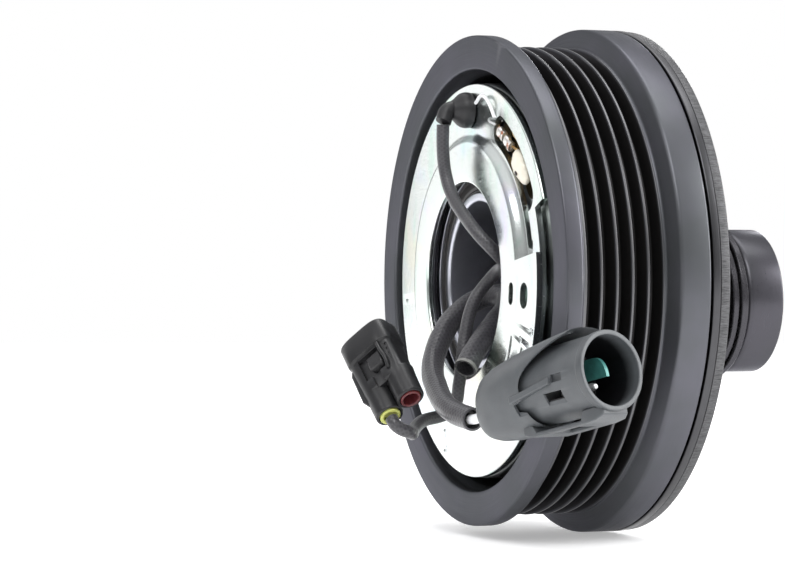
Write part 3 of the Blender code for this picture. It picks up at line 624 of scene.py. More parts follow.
def woven(name, base, lit_thread, gloss, pitch_mm, turns, strength=0.8):
    """A braided sleeve. Its threads follow the UV map that runs along and round the tube. The raised threads
    get a painted highlight and the gaps between them painted shade.
    """
    n = Nodes(name)
    parts = n.add("SeparateXYZ")
    n.link(n.add("TexCoord").outputs["UV"], parts.inputs[0])
    along, round_turn = parts.outputs[0], parts.outputs[1]
    length = n.math("MULTIPLY", along, TURN / pitch_mm)
    turn = n.math("MULTIPLY", round_turn, TURN * turns)
    left = n.math("SINE", n.math("ADD", length, turn))
    right = n.math("SINE", n.math("SUBTRACT", length, turn))
    over = n.math("MAXIMUM", left, right)
    strand = n.math("SINE", n.math("MULTIPLY", n.math("ADD", length, turn), 4.0))
    fibre = n.noise(n.place(), 5.0, 4.0)
    height = n.math("ADD", over, n.math("MULTIPLY", strand, 0.12))
    height = n.math("ADD", height, n.math("MULTIPLY", fibre, 0.35))
    # painted highlight and shade: raised threads take the lighter colour, the gaps between them the darker
    # one
    lit = n.span(over, -0.2, 1.0, 0.0, 1.0)
    colour = n.mix(lit, base, lit_thread)
    darker = tuple(c * 0.6 for c in base)
    colour = n.mix(n.math("MULTIPLY", n.noise(n.place(), 0.3, 3.0), 0.5), colour, darker)
    rough = n.span(over, -0.5, 1.0, gloss + 0.12, gloss)
    return n.finish(colour, rough, n.bump(height, strength, 0.07), 0.0, Sheen_Weight=0.15)


def copper_wire(name):
    n = Nodes(name)
    patches = n.noise(n.place(), 0.5, 4.0)
    colour = n.ramp(patches, (0.3, (0.26, 0.15, 0.06)), (0.7, (0.55, 0.40, 0.20)))
    return n.finish(colour, n.span(patches, 0.3, 0.7, 0.22, 0.4), n.bump(patches, 0.15, 0.03), 1.0)


def plain_metal(name, base, gloss, metallic=1.0):
    n = Nodes(name)
    patches = n.noise(n.place(), 0.8, 5.0, 0.6)
    colour = n.ramp(patches, (0.3, tuple(c * 0.75 for c in base)), (0.7, base))
    fine = n.noise(n.place((1, 4, 1)), 3.0, 4.0)
    rough = n.span(fine, 0.3, 0.7, gloss - 0.06, gloss + 0.1)
    return n.finish(colour, rough, n.bump(fine, 0.12, 0.02), metallic)


def worn_crimp(name):
    """Tinned copper whose tin has gone in places."""
    n = Nodes(name)
    bare = n.noise(n.place(), 0.55, 3.0)
    colour = n.ramp(bare, (0.52, (0.78, 0.76, 0.72)), (0.60, (0.50, 0.17, 0.08)))
    fine = n.noise(n.place(), 3.0, 4.0)
    return n.finish(colour, n.span(fine, 0.3, 0.7, 0.25, 0.4), n.bump(fine, 0.2, 0.03), 0.9)


def stamped_edge(name, base):
    """The torn band of a stamped edge: short marks along the axis."""
    n = Nodes(name)
    torn = n.noise(n.polar(along=0.5, around=260.0, outwards=0.2), 1.0, 5.0, 0.75)
    colour = n.ramp(torn, (0.38, tuple(c * 0.45 for c in base)), (0.62, tuple(c * 1.5 for c in base)))
    return n.finish(colour, n.span(torn, 0.3, 0.7, 0.35, 0.6), n.bump(torn, 0.7, 0.08), 0.8)


GLOSSY = coated_steel("glossy_coat", (0.036, 0.036, 0.038), 0.22, around=0.4, wear=0.4)
CUP = coated_steel("drawn_cup_coat", (0.050, 0.051, 0.054), 0.27, around=8.0, wear=0.5)
RIB_TIP = bright_steel("rub_worn_tips", (0.13, 0.13, 0.135), 0.34)
ZINC = zinc_plate("zinc_plate")
# painted shade: a darker copy of the zinc for the coil shell, whose rear wall lies in shade
SHADED_ZINC = bright_steel("zinc_painted_shade", (0.16, 0.17, 0.165), 0.34)
RACE = bright_steel("bearing_steel", (0.56, 0.57, 0.63), 0.30)
FACE_STEEL = bright_steel("dark_turned_steel", (0.075, 0.075, 0.079), 0.30, strength=0.25)
TORN = stamped_edge("stamped_edge", (0.085, 0.085, 0.088))
CAP_STEEL = coated_steel("cap_coat", (0.082, 0.083, 0.086), 0.40, around=5.0, wear=0.35)
RUBBER = moulded("black_rubber", (0.018, 0.018, 0.019), 0.42, strength=0.3, Specular_IOR_Level=0.35)
SEAL = moulded("bearing_seal_rubber", (0.030, 0.028, 0.028), 0.50, grain_scale=5.0, strength=0.5)
RESIN = moulded("potting_resin", (0.030, 0.022, 0.018), 0.30)
CREAM = moulded("cream_resin", (0.72, 0.68, 0.58), 0.30, lighter=1.1, strength=0.35, spots=0.3)
GREY_NYLON = (0.064, 0.069, 0.074)
NYLON = {"grain_scale": 6.0, "Specular_IOR_Level": 0.4}
GREY = moulded("grey_nylon", GREY_NYLON, 0.40, **NYLON)
BLACK = moulded("black_nylon", (0.011, 0.011, 0.012), 0.33, lighter=1.5, **NYLON)
YELLOW = moulded("yellow_silicone", (0.50, 0.50, 0.13), 0.34, lighter=1.15, Subsurface_Weight=0.1)
RED = moulded("red_silicone", (0.085, 0.014, 0.017), 0.36, lighter=1.4, Subsurface_Weight=0.1)
# The second colour of each braid is the painted highlight on its raised threads.
LEAD = woven("lead_sleeve", (0.034, 0.033, 0.037), (0.060, 0.059, 0.066), 0.32, 0.9, 7, 0.28)
SLEEVE = woven("main_sleeve_weave", (0.028, 0.027, 0.031), (0.056, 0.054, 0.062), 0.28, 1.2, 11, 0.35)
SHRINK = moulded("sleeve_end", (0.17, 0.17, 0.16), 0.40, lighter=1.2)
CRIMP = worn_crimp("crimp")
WHITE_WIRE = moulded("white_insulation", (0.78, 0.79, 0.80), 0.28, lighter=1.1)
COPPER = copper_wire("enamelled_copper")
BRASS = plain_metal("brass", (0.78, 0.58, 0.28), 0.28)
TIN = plain_metal("tin_plate", (0.055, 0.22, 0.20), 0.34, 0.2)
SILVER = plain_metal("tinned_wire", (0.55, 0.56, 0.56), 0.30, 0.6)


# ---------------------------------------------------------------- belt pulley and bearing

RIB_PITCH = 3.56
RIB_COUNT = 5
FIRST_GROOVE_Y = REAR_Y - 6.92
RIM_R = 51.8
FLANGE_R = 54.0
MOUTH_R = 46.5
FRONT_BORE_R = 23.5
RIB_DEPTH = 3.1
ROOT_HALF = 0.40
TIP_HALF = (RIB_PITCH - 0.5) / 2
FLUX_SLOT_R = (34.5, 38.5)
FLUX_SLOTS = 6
BEARING_SEAT_R = 26.15
RACE_BORE_R = 17.5
INNER_TRACK_R = 19.4
OUTER_TRACK_R = 23.2
BEARING_R = 25.85
BALL_PITCH_R = (INNER_TRACK_R + OUTER_TRACK_R) / 2
BALL_GROOVE_R = 2.95
PULLEY_HUB_R = 29.0
COIL_SPACE_R = 44.3
WALL_REAR_Y = PULLEY_FRONT_Y + 4.5
TRACK_MIDDLE_Y = REAR_Y - 13.9
TRACK_HALF = 9.4
# The pulley's grooves inside the belt band get painted shade.
PULLEY_COAT = coated_steel(
    "pulley_coat", (0.078, 0.082, 0.087), 0.33, wear=0.5, shaded_grooves=(RIM_R, TRACK_MIDDLE_Y, TRACK_HALF)
)


def make_pulley():
    grooves = []
    for index in range(RIB_COUNT):
        middle = FIRST_GROOVE_Y - index * RIB_PITCH
        grooves += [
            (RIM_R, middle + TIP_HALF, 0.12),
            (RIM_R - RIB_DEPTH, middle + ROOT_HALF, 0.3),
            (RIM_R - RIB_DEPTH, middle - ROOT_HALF, 0.3),
            (RIM_R, middle - TIP_HALF, 0.12),
        ]
    corners = [
        (MOUTH_R, REAR_Y, 0.6),
        (FLANGE_R, REAR_Y, 0.5),
        (FLANGE_R, REAR_Y - 3.7, 0.5),
        (RIM_R, REAR_Y - 4.5, 0.3),
        *grooves,
        (RIM_R, REAR_Y - 23.3, 0.5),
        (RIM_FRONT_R, REAR_Y - 24.9, 0.7),
        (RIM_FRONT_R, PULLEY_FRONT_Y, 0.5),
        (FRONT_BORE_R, PULLEY_FRONT_Y, 0.6),
        (FRONT_BORE_R, BEARING_FRONT_Y - GAP, 0.3),
        (BEARING_SEAT_R, BEARING_FRONT_Y - GAP, 0.2),
        (BEARING_SEAT_R, BEARING_REAR_Y + 0.6, 0.5),
        (PULLEY_HUB_R, BEARING_REAR_Y + 0.6, 0.5),
        (PULLEY_HUB_R, WALL_REAR_Y, 1.2),
        (COIL_SPACE_R, WALL_REAR_Y, 1.2),
        (COIL_SPACE_R, REAR_Y - 6.5, 0.8),
        (MOUTH_R, REAR_Y - 2.6, 0.8),
    ]
    pulley = lathe("belt_pulley", corners, 200, PULLEY_COAT, "pulley", ["pulley"], "coated_steel")
    half_angle = math.pi / FLUX_SLOTS - math.radians(6)
    slots = []
    for index in range(FLUX_SLOTS):
        outline = arc_slot(*FLUX_SLOT_R, TURN * index / FLUX_SLOTS, half_angle)
        slots.append(extruded([outline], WALL_REAR_Y + 1.0, PULLEY_FRONT_Y - 1.0))
    cut(pulley, joined(slots))
    pulley.data.materials.append(RIB_TIP)
    for face in pulley.data.polygons:
        x, y, z = (c / MM for c in face.center)
        radius = math.hypot(x, z)
        on_tip = abs(radius - RIM_R) < 0.13 and abs(y - TRACK_MIDDLE_Y) < TRACK_HALF - 0.5
        if on_tip and abs(face.normal.y) < 0.5:
            face.material_index = 1


def ball_groove(track_r, towards):
    """The groove that the balls run in, rear to front; towards is -1 for the inner ring."""
    middle = (BEARING_REAR_Y + BEARING_FRONT_Y) / 2
    half = math.sqrt(BALL_GROOVE_R**2 - (track_r - BALL_PITCH_R) ** 2)
    points = []
    for step in range(13):
        off = half * (1 - step / 6)
        points.append((BALL_PITCH_R + towards * math.sqrt(BALL_GROOVE_R**2 - off**2), middle + off, 0))
    return points


def make_bearing():
    inner = [
        (RACE_BORE_R, BEARING_REAR_Y, 0.7),
        (INNER_TRACK_R, BEARING_REAR_Y, 0.25),
        *ball_groove(INNER_TRACK_R, -1),
        (INNER_TRACK_R, BEARING_FRONT_Y, 0.25),
        (RACE_BORE_R, BEARING_FRONT_Y, 0.7),
    ]
    lathe("inner_ring", inner, 128, RACE, "coil", ["bearing_inner_race"], "bearing_steel")
    outer = [
        (OUTER_TRACK_R, BEARING_REAR_Y, 0.25),
        (BEARING_R, BEARING_REAR_Y, 0.7),
        (BEARING_R, BEARING_FRONT_Y, 0.7),
        (OUTER_TRACK_R, BEARING_FRONT_Y, 0.25),
        *reversed(ball_groove(OUTER_TRACK_R, 1)),
    ]
    lathe("outer_ring", outer, 128, RACE, "pulley", ["bearing_outer_race"], "bearing_steel")
    section = [
        (19.5, 0.25, 0.1),
        (19.9, 0.0, 0.15),
        (20.3, 0.3, 0.1),
        (20.7, 0.0, 0.15),
        (22.3, 0.0, 0.2),
        (22.5, 0.35, 0.1),
        (22.9, 0.35, 0.1),
        (23.1, 0.05, 0.1),
        (23.1, 1.0, 0),
        (19.6, 1.0, 0),
    ]
    for side, face_y, inwards in (("rear", BEARING_REAR_Y - 0.4, -1), ("front", BEARING_FRONT_Y + 0.4, 1)):
        seal = [(radius, face_y + inwards * depth, reach) for radius, depth, reach in section]
        node = f"bearing_seal_{side}"
        lathe(f"{side}_seal", seal, 128, SEAL, "pulley", [node], "black_rubber", steps=3)
    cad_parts["bearing_ball_cage"].data.materials[0] = RACE


# ---------------------------------------------------------------- coil and its plate

SHELL_R = 43.6
SHELL_BORE_R = 30.3
SHELL_WALL = 1.9
PLATE_SHEET = 1.3
PLATE_BORE_R = 21.7
PLATE_R = 43.4
# Windows and slots: inner radius, outer radius, middle and half length, the last two in degrees.
COIL_WINDOW = (33.2, 39.2, 132, 19)
PLATE_WINDOW = (32.9, 39.4, 134, 22)
NARROW_WINDOW = (32.9, 35.2, 159.5, 9.5)
EAR_SLOTS = ((26.4, 28.8, 186, 5), (32.6, 36.6, 185.5, 4.6))


def window_outline(inner, outer, middle, half, *steps):
    return arc_slot(inner, outer, math.radians(middle), math.radians(half), *steps)


def make_coil():
    rear, front = levels("coil_shell")
    web = rear - SHELL_WALL
    inside, outside = SHELL_BORE_R + SHELL_WALL, SHELL_R - SHELL_WALL
    corners = [
        (SHELL_BORE_R, rear, 0.9),
        (SHELL_R, rear, 0.9),
        (SHELL_R, front, 0.3),
        (outside, front, 0.2),
        (outside, web, 0.6),
        (inside, web, 0.6),
        (inside, front, 0.2),
        (SHELL_BORE_R, front, 0.3),
    ]
    # The coil shell takes the darker, painted-shade copy of the zinc.
    shell = lathe("coil_channel", corners, 160, SHADED_ZINC, "coil", ["coil_shell"], "zinc_plated_steel")
    cut(shell, extruded([window_outline(*COIL_WINDOW)], 0.0, web - 1.0))
    top, bottom = levels("coil_winding")
    wire_r = 0.35
    turns = int((outside - inside - 2 * GAP) / (2 * wire_r))
    profile = [(outside - GAP, bottom), (inside + GAP, bottom)]
    for turn in range(turns):
        middle = inside + GAP + wire_r * (2 * turn + 1)
        for step in range(5):
            angle = math.pi * (1 - step / 4)
            radius = middle + wire_r * 0.98 * math.cos(angle)
            profile.append((radius, top - wire_r + wire_r * math.sin(angle)))
    piece("wound_coil", turned(profile, 96), COPPER, "coil", ["coil_winding"], "copper", angle=60)
    top, bottom = levels("coil_potting")
    corners = [
        (inside + GAP, top, 0),
        (outside - GAP, top, 0),
        (outside - GAP, bottom, 0.8),
        (inside + GAP, bottom, 0.8),
    ]
    lathe("potting_ring", corners, 128, RESIN, "coil", ["coil_potting"], "dark_resin")


def dent(radius, x, y, z):
    ball = bmesh.new()
    bmesh.ops.create_uvsphere(ball, u_segments=20, v_segments=12, radius=radius)
    bmesh.ops.translate(ball, verts=ball.verts, vec=(x, y, z))
    return ball


def make_plate():
    raised, outer, sheet = PLATE_RAISED_Y, PLATE_OUTER_Y, PLATE_SHEET
    corners = [
        (PLATE_BORE_R, raised - sheet, 0.15),
        (PLATE_BORE_R, raised, 0.5),
        (30.3, raised, 0.9),
        (32.2, outer, 0.9),
        (PLATE_R, outer, 0.5),
        (PLATE_R, outer - sheet, 0.2),
        (31.6, outer - sheet, 0.8),
        (29.7, raised - sheet, 0.8),
    ]
    node, slot = "coil_mounting_plate", "zinc_plated_steel"
    plate = lathe("mounting_plate", corners, 180, ZINC, "coil", [node], slot)
    top, bottom = raised + 2.0, outer - 3.0
    outlines = [sector(38.8, 46.0, 157, 203), window_outline(*PLATE_WINDOW), window_outline(*NARROW_WINDOW)]
    cut(plate, joined([extruded([outline], top, bottom) for outline in outlines]), overlapping=True)
    cut(plate, extruded([sector(27.0, 41.4, 172, 203)], raised, raised - sheet), "UNION")
    slots = [extruded([window_outline(*ear_slot, 8, 8)], top, bottom) for ear_slot in EAR_SLOTS]
    cut(plate, joined(slots), overlapping=True)
    dents = [
        dent(1.6, -32.5, raised + 1.3, -12.6),
        dent(1.6, -38.2, raised + 1.3, -10.9),
        dent(1.8, 39.5, outer + 1.4, -4.1),
        dent(1.4, 15.7, outer + 1.1, -37.9),
        dent(1.4, 15.7, outer + 1.1, -33.4),
        dent(1.2, -33.2, outer + 0.9, 8.8),
    ]
    wedge = block((-1.6, -0.7, -2.0), (1.6, 0.7, 2.0))
    turn = Matrix.Rotation(math.radians(35), 3, "Z")
    bmesh.ops.rotate(wedge, verts=wedge.verts, cent=(0, 0, 0), matrix=turn)
    bmesh.ops.translate(wedge, verts=wedge.verts, vec=(-33.0, outer + 0.35, 6.3))
    cut(plate, joined(dents + [wedge]), overlapping=True)
    soften(plate, 0.15, 2, 48)


# ---------------------------------------------------------------- grommet, lead ends and protector


GROMMET_X, GROMMET_Z = 0.3, 37.6
PROTECTOR_ANGLE = math.radians(-(138 + 90))
# Half of a crimp: the distance from its middle and its size there.
CRIMP_SHAPE = ((0.15, 0.66), (0.45, 0.88), (0.7, 1.0), (1.5, 0.96), (1.6, 0.86))


def make_grommet():
    x, z, base = GROMMET_X, GROMMET_Z, PLATE_OUTER_Y
    dome = [
        (0.0, base + 0.2, 0),
        (3.9, base + 0.2, 0.2),
        (4.0, base + 1.3, 0.4),
        (3.7, base + 2.6, 0.9),
        (2.4, base + 3.9, 0.9),
        (2.0, base + 4.6, 0.3),
        (0.0, base + 4.65, 0),
    ]
    grommet = lathe("grommet", dome, 64, RUBBER, "coil", ["lead_grommet"], "black_rubber", centre=(x, z))
    line = smooth_line([(x, 0.6, z), (x, 4.6, z - 0.1), (-0.3, 6.1, 34.9)], 14)
    cut(grommet, tube(line, 1.78, 28, 0.05), "UNION")


def uneven_ball(subdivisions, radius, size, *waves):
    """A stretched ball whose surface moves in and out. Each wave is (height, how close)."""
    ball = bmesh.new()
    bmesh.ops.create_icosphere(ball, subdivisions=subdivisions, radius=radius)
    bmesh.ops.scale(ball, vec=size, verts=ball.verts)
    for vert in ball.verts:
        shift = sum(height * noise.noise(vert.co * close) for height, close in waves)
        vert.co += vert.co.normalized() * shift
    return ball


def make_protector():
    low, high = box_mm("thermal_protector")
    middle = [(a + b) / 2 for a, b in zip(low, high)]
    place = Matrix.Translation(middle) @ Matrix.Rotation(PROTECTOR_ANGLE, 4, "Y")
    blob = uneven_ball(5, 1.0, (4.5, 1.8, 2.4), (0.35, 0.5), (0.10, 1.7))
    piece("protector", blob, CREAM, "coil", ["thermal_protector"], "cream_resin", place)
    spot = uneven_ball(3, 0.55, (1.3, 0.4, 0.8), (0.08, 3.0))
    spot_place = place @ Matrix.Translation((1.6, 1.75, 0.3))
    piece("protector_spot", spot, RESIN, "coil", (), "dark_resin", spot_place)


def make_lead_ends():
    for number in (1, 2):
        node = f"lead_crimp_{number}"
        x, z = centre_mm(node)
        tangent = math.atan2(z, x) + math.pi / 2
        shape = [(-off, size) for off, size in reversed(CRIMP_SHAPE)] + list(CRIMP_SHAPE)
        barrel = skinned([rounded_ring(off, 0.8 * size, 1.2 * size, 0, 2.6, 40) for off, size in shape])
        rear, front = levels(node)
        place = Matrix.Translation((x, (front + rear) / 2, z)) @ Matrix.Rotation(-tangent, 4, "Y")
        piece(f"crimp_{number}", barrel, CRIMP, "coil", [node], "copper", place)
    wire = smooth_line([(-5.0, 0.3, 38.9), (-9.0, 0.5, 40.2), (-12.6, 0.4, 38.6), (-14.4, -0.3, 35.2)], 14)
    piece("coil_wire", tube(wire, 0.4, 16), WHITE_WIRE, "coil", ["winding_lead"], "tinned_metal")
    bends = [(-13.6, -2.6, 34.6), (-12.6, -0.6, 35.2), (-13.4, 0.6, 34.6), (-14.8, -0.4, 33.6)]
    piece("coil_wire_end", tube(smooth_line(bends), 0.28, 14), SILVER, "coil", (), "tinned_metal")
    runs = (((-17.6, -2.0, 31.0), (-24.0, -2.6, 27.2)), ((-19.0, -2.6, 33.0), (-25.2, -2.9, 28.6)))
    for number, (start, end) in enumerate(runs):
        middle = [(a + b) / 2 for a, b in zip(start, end)]
        middle[1] += 0.9
        run = tube(smooth_line([start, middle, end]), 0.33, 14)
        piece(f"coil_wire_run_{number + 1}", run, COPPER, "coil", (), "copper")


# ---------------------------------------------------------------- leads and plugs


def frame_at(origin, axis, side):
    """A placing matrix whose X runs along axis and whose Z lies towards side."""
    along = Vector(axis).normalized()
    up = Vector(side)
    up = (up - along * up.dot(along)).normalized()
    across = up.cross(along)
    turn = Matrix((along, across, up)).transposed().to_4x4()
    return Matrix.Translation(Vector(origin)) @ turn


SMALL_PLUG = frame_at((-19.6, 23.4, -26.9), (-0.722, -0.091, -0.687), (-0.527, -0.571, 0.629))
SMALL_PLUG_LENGTH = 20.6
SEAL_SPACING = 6.0
MAIN_PLUG = frame_at((-78.4, 1.3, -17.8), (-0.936, -0.292, 0.2), (0.0, 0.0, 1.0))
MAIN_PLUG_LENGTH = 36.5
SOCKET_R = 8.1
SOCKET_BORE_R = 7.1
SOCKET_DEPTH = 13.0
# The plug barrel's material, with painted shade inside its socket.
GREY_SHADED_SOCKET = moulded(
    "grey_nylon_socket_painted_shade", GREY_NYLON, 0.40, socket=(MAIN_PLUG, SOCKET_BORE_R + 0.1, 4.0), **NYLON
)


LEAD_R = 1.40
SLEEVE_R = 2.45


def make_leads():
    seal = SMALL_PLUG @ Vector((0, 0, -SEAL_SPACING / 2))
    out = SMALL_PLUG.to_3x3() @ Vector((1, 0, 0))
    lead = [
        (-0.3, 6.15, 34.3),
        (0.1, 6.0, 28.7),
        (0.0, 5.5, 23.9),
        (-2.8, 5.0, 18.7),
        (-8.4, 4.3, 14.0),
        (-14.2, 2.8, 9.3),
        (-15.2, -0.6, 5.6),
        (-11.0, -3.8, 3.4),
        (-6.2, -3.6, 1.4),
        (-5.2, 0.6, -4.3),
        (-5.5, 2.8, -10.8),
        (-6.5, 4.1, -17.3),
        (-6.6, 4.9, -22.7),
        (-6.2, 6.0, -27.6),
        (-8.6, 14.5, -30.6),
        (-12.6, 17.9, -32.3),
        seal + out * 5.0 + Vector((2.4, -3.4, 0)),
        seal + out * 3.0 + Vector((0.4, -0.5, 0)),
        seal + out * 0.6,
    ]
    cable = tube(smooth_line(lead, 14), LEAD_R, 28, 0.04, seed=2.0)
    piece("lead", cable, LEAD, "coil", ["coil_lead"], "grey_sleeve", angle=60)
    sleeve = [
        (-36.4, 13.6, -29.0),
        (-25.5, 14.2, -27.4),
        (-13.6, 12.6, -23.8),
        (-4.0, 10.0, -18.5),
        (0.9, 6.2, -12.8),
        (4.4, 1.2, -7.8),
        (5.2, -4.5, -4.2),
        (1.5, -8.4, -3.2),
        (-3.4, -7.4, -6.0),
        (-6.6, -3.4, -9.4),
        (-9.8, 0.5, -12.7),
        (-12.7, 4.0, -15.8),
        (-15.0, 6.8, -19.0),
    ]
    line = smooth_line(sleeve, 14)
    braid = tube(line, SLEEVE_R, 40, 0.10, wall=0.42, seed=5.0)
    piece("sleeve", braid, SLEEVE, "coil", ["main_sleeve"], "grey_sleeve", angle=60)
    # painted shade: the wires inside the sleeve are coloured near black so the tube is not seen through
    piece("sleeve_core_painted_shade", tube(line[2:-8], 1.55, 20), BLACK, "coil", (), "grey_sleeve")
    end_ring = tube(line[-3:], SLEEVE_R + 0.03, 40, 0.02, wall=0.4, seed=5.0)
    piece("sleeve_end_ring", end_ring, SHRINK, "coil", (), "grey_sleeve", angle=60)
    plug_end = MAIN_PLUG @ Vector((-MAIN_PLUG_LENGTH + 0.4, 0, -1.4))
    wire = smooth_line([(-35.0, 13.7, -29.0), (-37.0, 13.5, -28.9), (-39.4, 13.2, -28.4), plug_end], 14)
    piece("plug_wire", tube(wire, 1.05, 24), WHITE_WIRE, "coil", ["main_plug_wire"], "grey_sleeve")


def hood_ring(front_shift, x, half_width, top, bottom, sides=96):
    """A section of the hood. Its upper part leans forwards by front_shift."""
    level = rounded_ring(x, half_width, (top + bottom) / 2, (top - bottom) / 2, 2.4, sides)
    ring = []
    for step, (_, y, z) in enumerate(level):
        up = math.sin(TURN * step / sides)
        lean = max(0.0, min(1.0, (up + 0.05) / 0.9)) ** 1.3
        ring.append((x + front_shift * lean, y, z))
    return ring


def make_plug_barrel():
    barrel = [
        (SOCKET_BORE_R, 0.0, 0.25),
        (SOCKET_R, 0.0, 0.25),
        (SOCKET_R, -1.6, 0.15),
        (7.85, -1.9, 0.15),
        (7.6, -24.0, 0),
        (0.0, -24.0, 0),
        (0.0, -SOCKET_DEPTH, 0),
        (SOCKET_BORE_R, -SOCKET_DEPTH, 0.3),
    ]
    node, slot = "main_plug_housing", "grey_plastic"
    housing = piece("plug_barrel", turned_on_x(barrel, 112), GREY_SHADED_SOCKET, "coil", [node], slot, MAIN_PLUG)
    openings = [block((-9.6, -8.6, -0.7), (-6.4, -7.25, 0.9)), block((-12.8, -9.0, -5.2), (-7.4, -6.0, -2.4))]
    cut(housing, joined(openings), place=MAIN_PLUG, overlapping=True)
    soften(housing, 0.12)


def make_plug_hood():
    sections = [
        (0.0, -36.5, 4.6, 2.8, 6.8),
        (0.0, -36.2, 5.4, 3.6, 7.4),
        (0.0, -35.3, 6.3, 4.7, 8.1),
        (0.0, -33.6, 7.2, 5.8, 8.6),
        (0.5, -31.0, 7.9, 6.8, 8.9),
        (2.0, -28.0, 8.3, 7.7, 8.9),
        (4.5, -25.0, 8.6, 8.5, 8.7),
        (8.0, -22.0, 8.8, 9.2, 8.4),
        (11.2, -19.2, 8.9, 9.8, 8.2),
        (12.0, -18.5, 8.8, 9.8, 8.1),
        # From here the same skin runs back inside the hood.
        (11.8, -18.8, 8.5, 9.4, 7.9),
        (10.0, -21.0, 8.25, 9.0, 7.75),
        (6.5, -24.0, 7.9, 8.4, 7.6),
        (4.0, -25.6, 4.0, 4.5, 4.0),
    ]
    shape = skinned([hood_ring(*section) for section in sections])
    hood = piece("plug_hood", shape, GREY, "coil", (), "grey_plastic", MAIN_PLUG, angle=50)
    hole = block((-10.6, -3.4, 7.0), (-7.8, -0.6, 12.0))
    bmesh.ops.bevel(hole, geom=hole.edges, offset=0.9, segments=4, affect="EDGES")
    cut(hood, hole, place=MAIN_PLUG)
    recess = barred([(-21.0, -9.6, -7.0, -6.4, -3.2), (-15.0, -9.6, -6.8, -5.6, -2.0)])
    cut(hood, recess, place=MAIN_PLUG)
    soften(hood, 0.18, 2, 50)
    rib = barred(
        [(-21.6, -7.0, -9.1, -3.0, -1.6), (-16.0, -7.0, -8.9, -2.0, -0.7), (-9.8, -7.0, -8.5, -0.9, 0.5)]
    )
    piece("plug_rib", rib, GREY, "coil", (), "grey_plastic", MAIN_PLUG, bevel=0.25)
    arm = barred(
        [
            (-23.4, -4.6, 4.6, -9.2, -7.2),
            (-20.6, -4.6, 4.6, -9.9, -7.4),
            (-19.6, -4.6, 4.6, -9.9, -9.0),
            (-6.2, -4.4, 4.4, -9.7, -8.9),
            (-5.4, -4.4, 4.4, -9.7, -7.0),
            (-2.4, -4.0, 4.0, -9.4, -6.8),
            (-0.6, -3.2, 3.2, -8.6, -7.3),
        ]
    )
    latch = piece("plug_latch", arm, GREY, "coil", (), "grey_plastic", MAIN_PLUG)
    cut(latch, block((-17.0, -2.4, -12.0), (-9.0, 2.4, -8.0)), place=MAIN_PLUG)
    soften(latch, 0.25)


def make_plug_contacts():
    """The blade with its rounded upper corner, and a small pin beside it."""
    outline = [(-SOCKET_DEPTH, -1.0)]
    for step in range(13):
        angle = math.pi / 2 * step / 12
        outline.append((-4.6 + 3.2 * math.cos(angle), -1.0 + 4.2 * math.sin(angle)))
    outline.append((-SOCKET_DEPTH, 3.2))
    blade = extruded([outline], 0.4, -0.4)
    node, slot = "main_plug_terminal", "tinned_metal"
    piece("plug_blade", blade, TIN, "coil", [node], slot, MAIN_PLUG, bevel=0.14)
    foot = -SOCKET_DEPTH
    pin = [(0.0, -3.4, 0), (0.55, -3.4, 0.3), (0.8, -4.4, 0), (0.8, foot, 0), (0.0, foot, 0)]
    piece("plug_pin", turned_on_x(pin, 32, -1.6, -2.6), SILVER, "coil", (), slot, MAIN_PLUG)


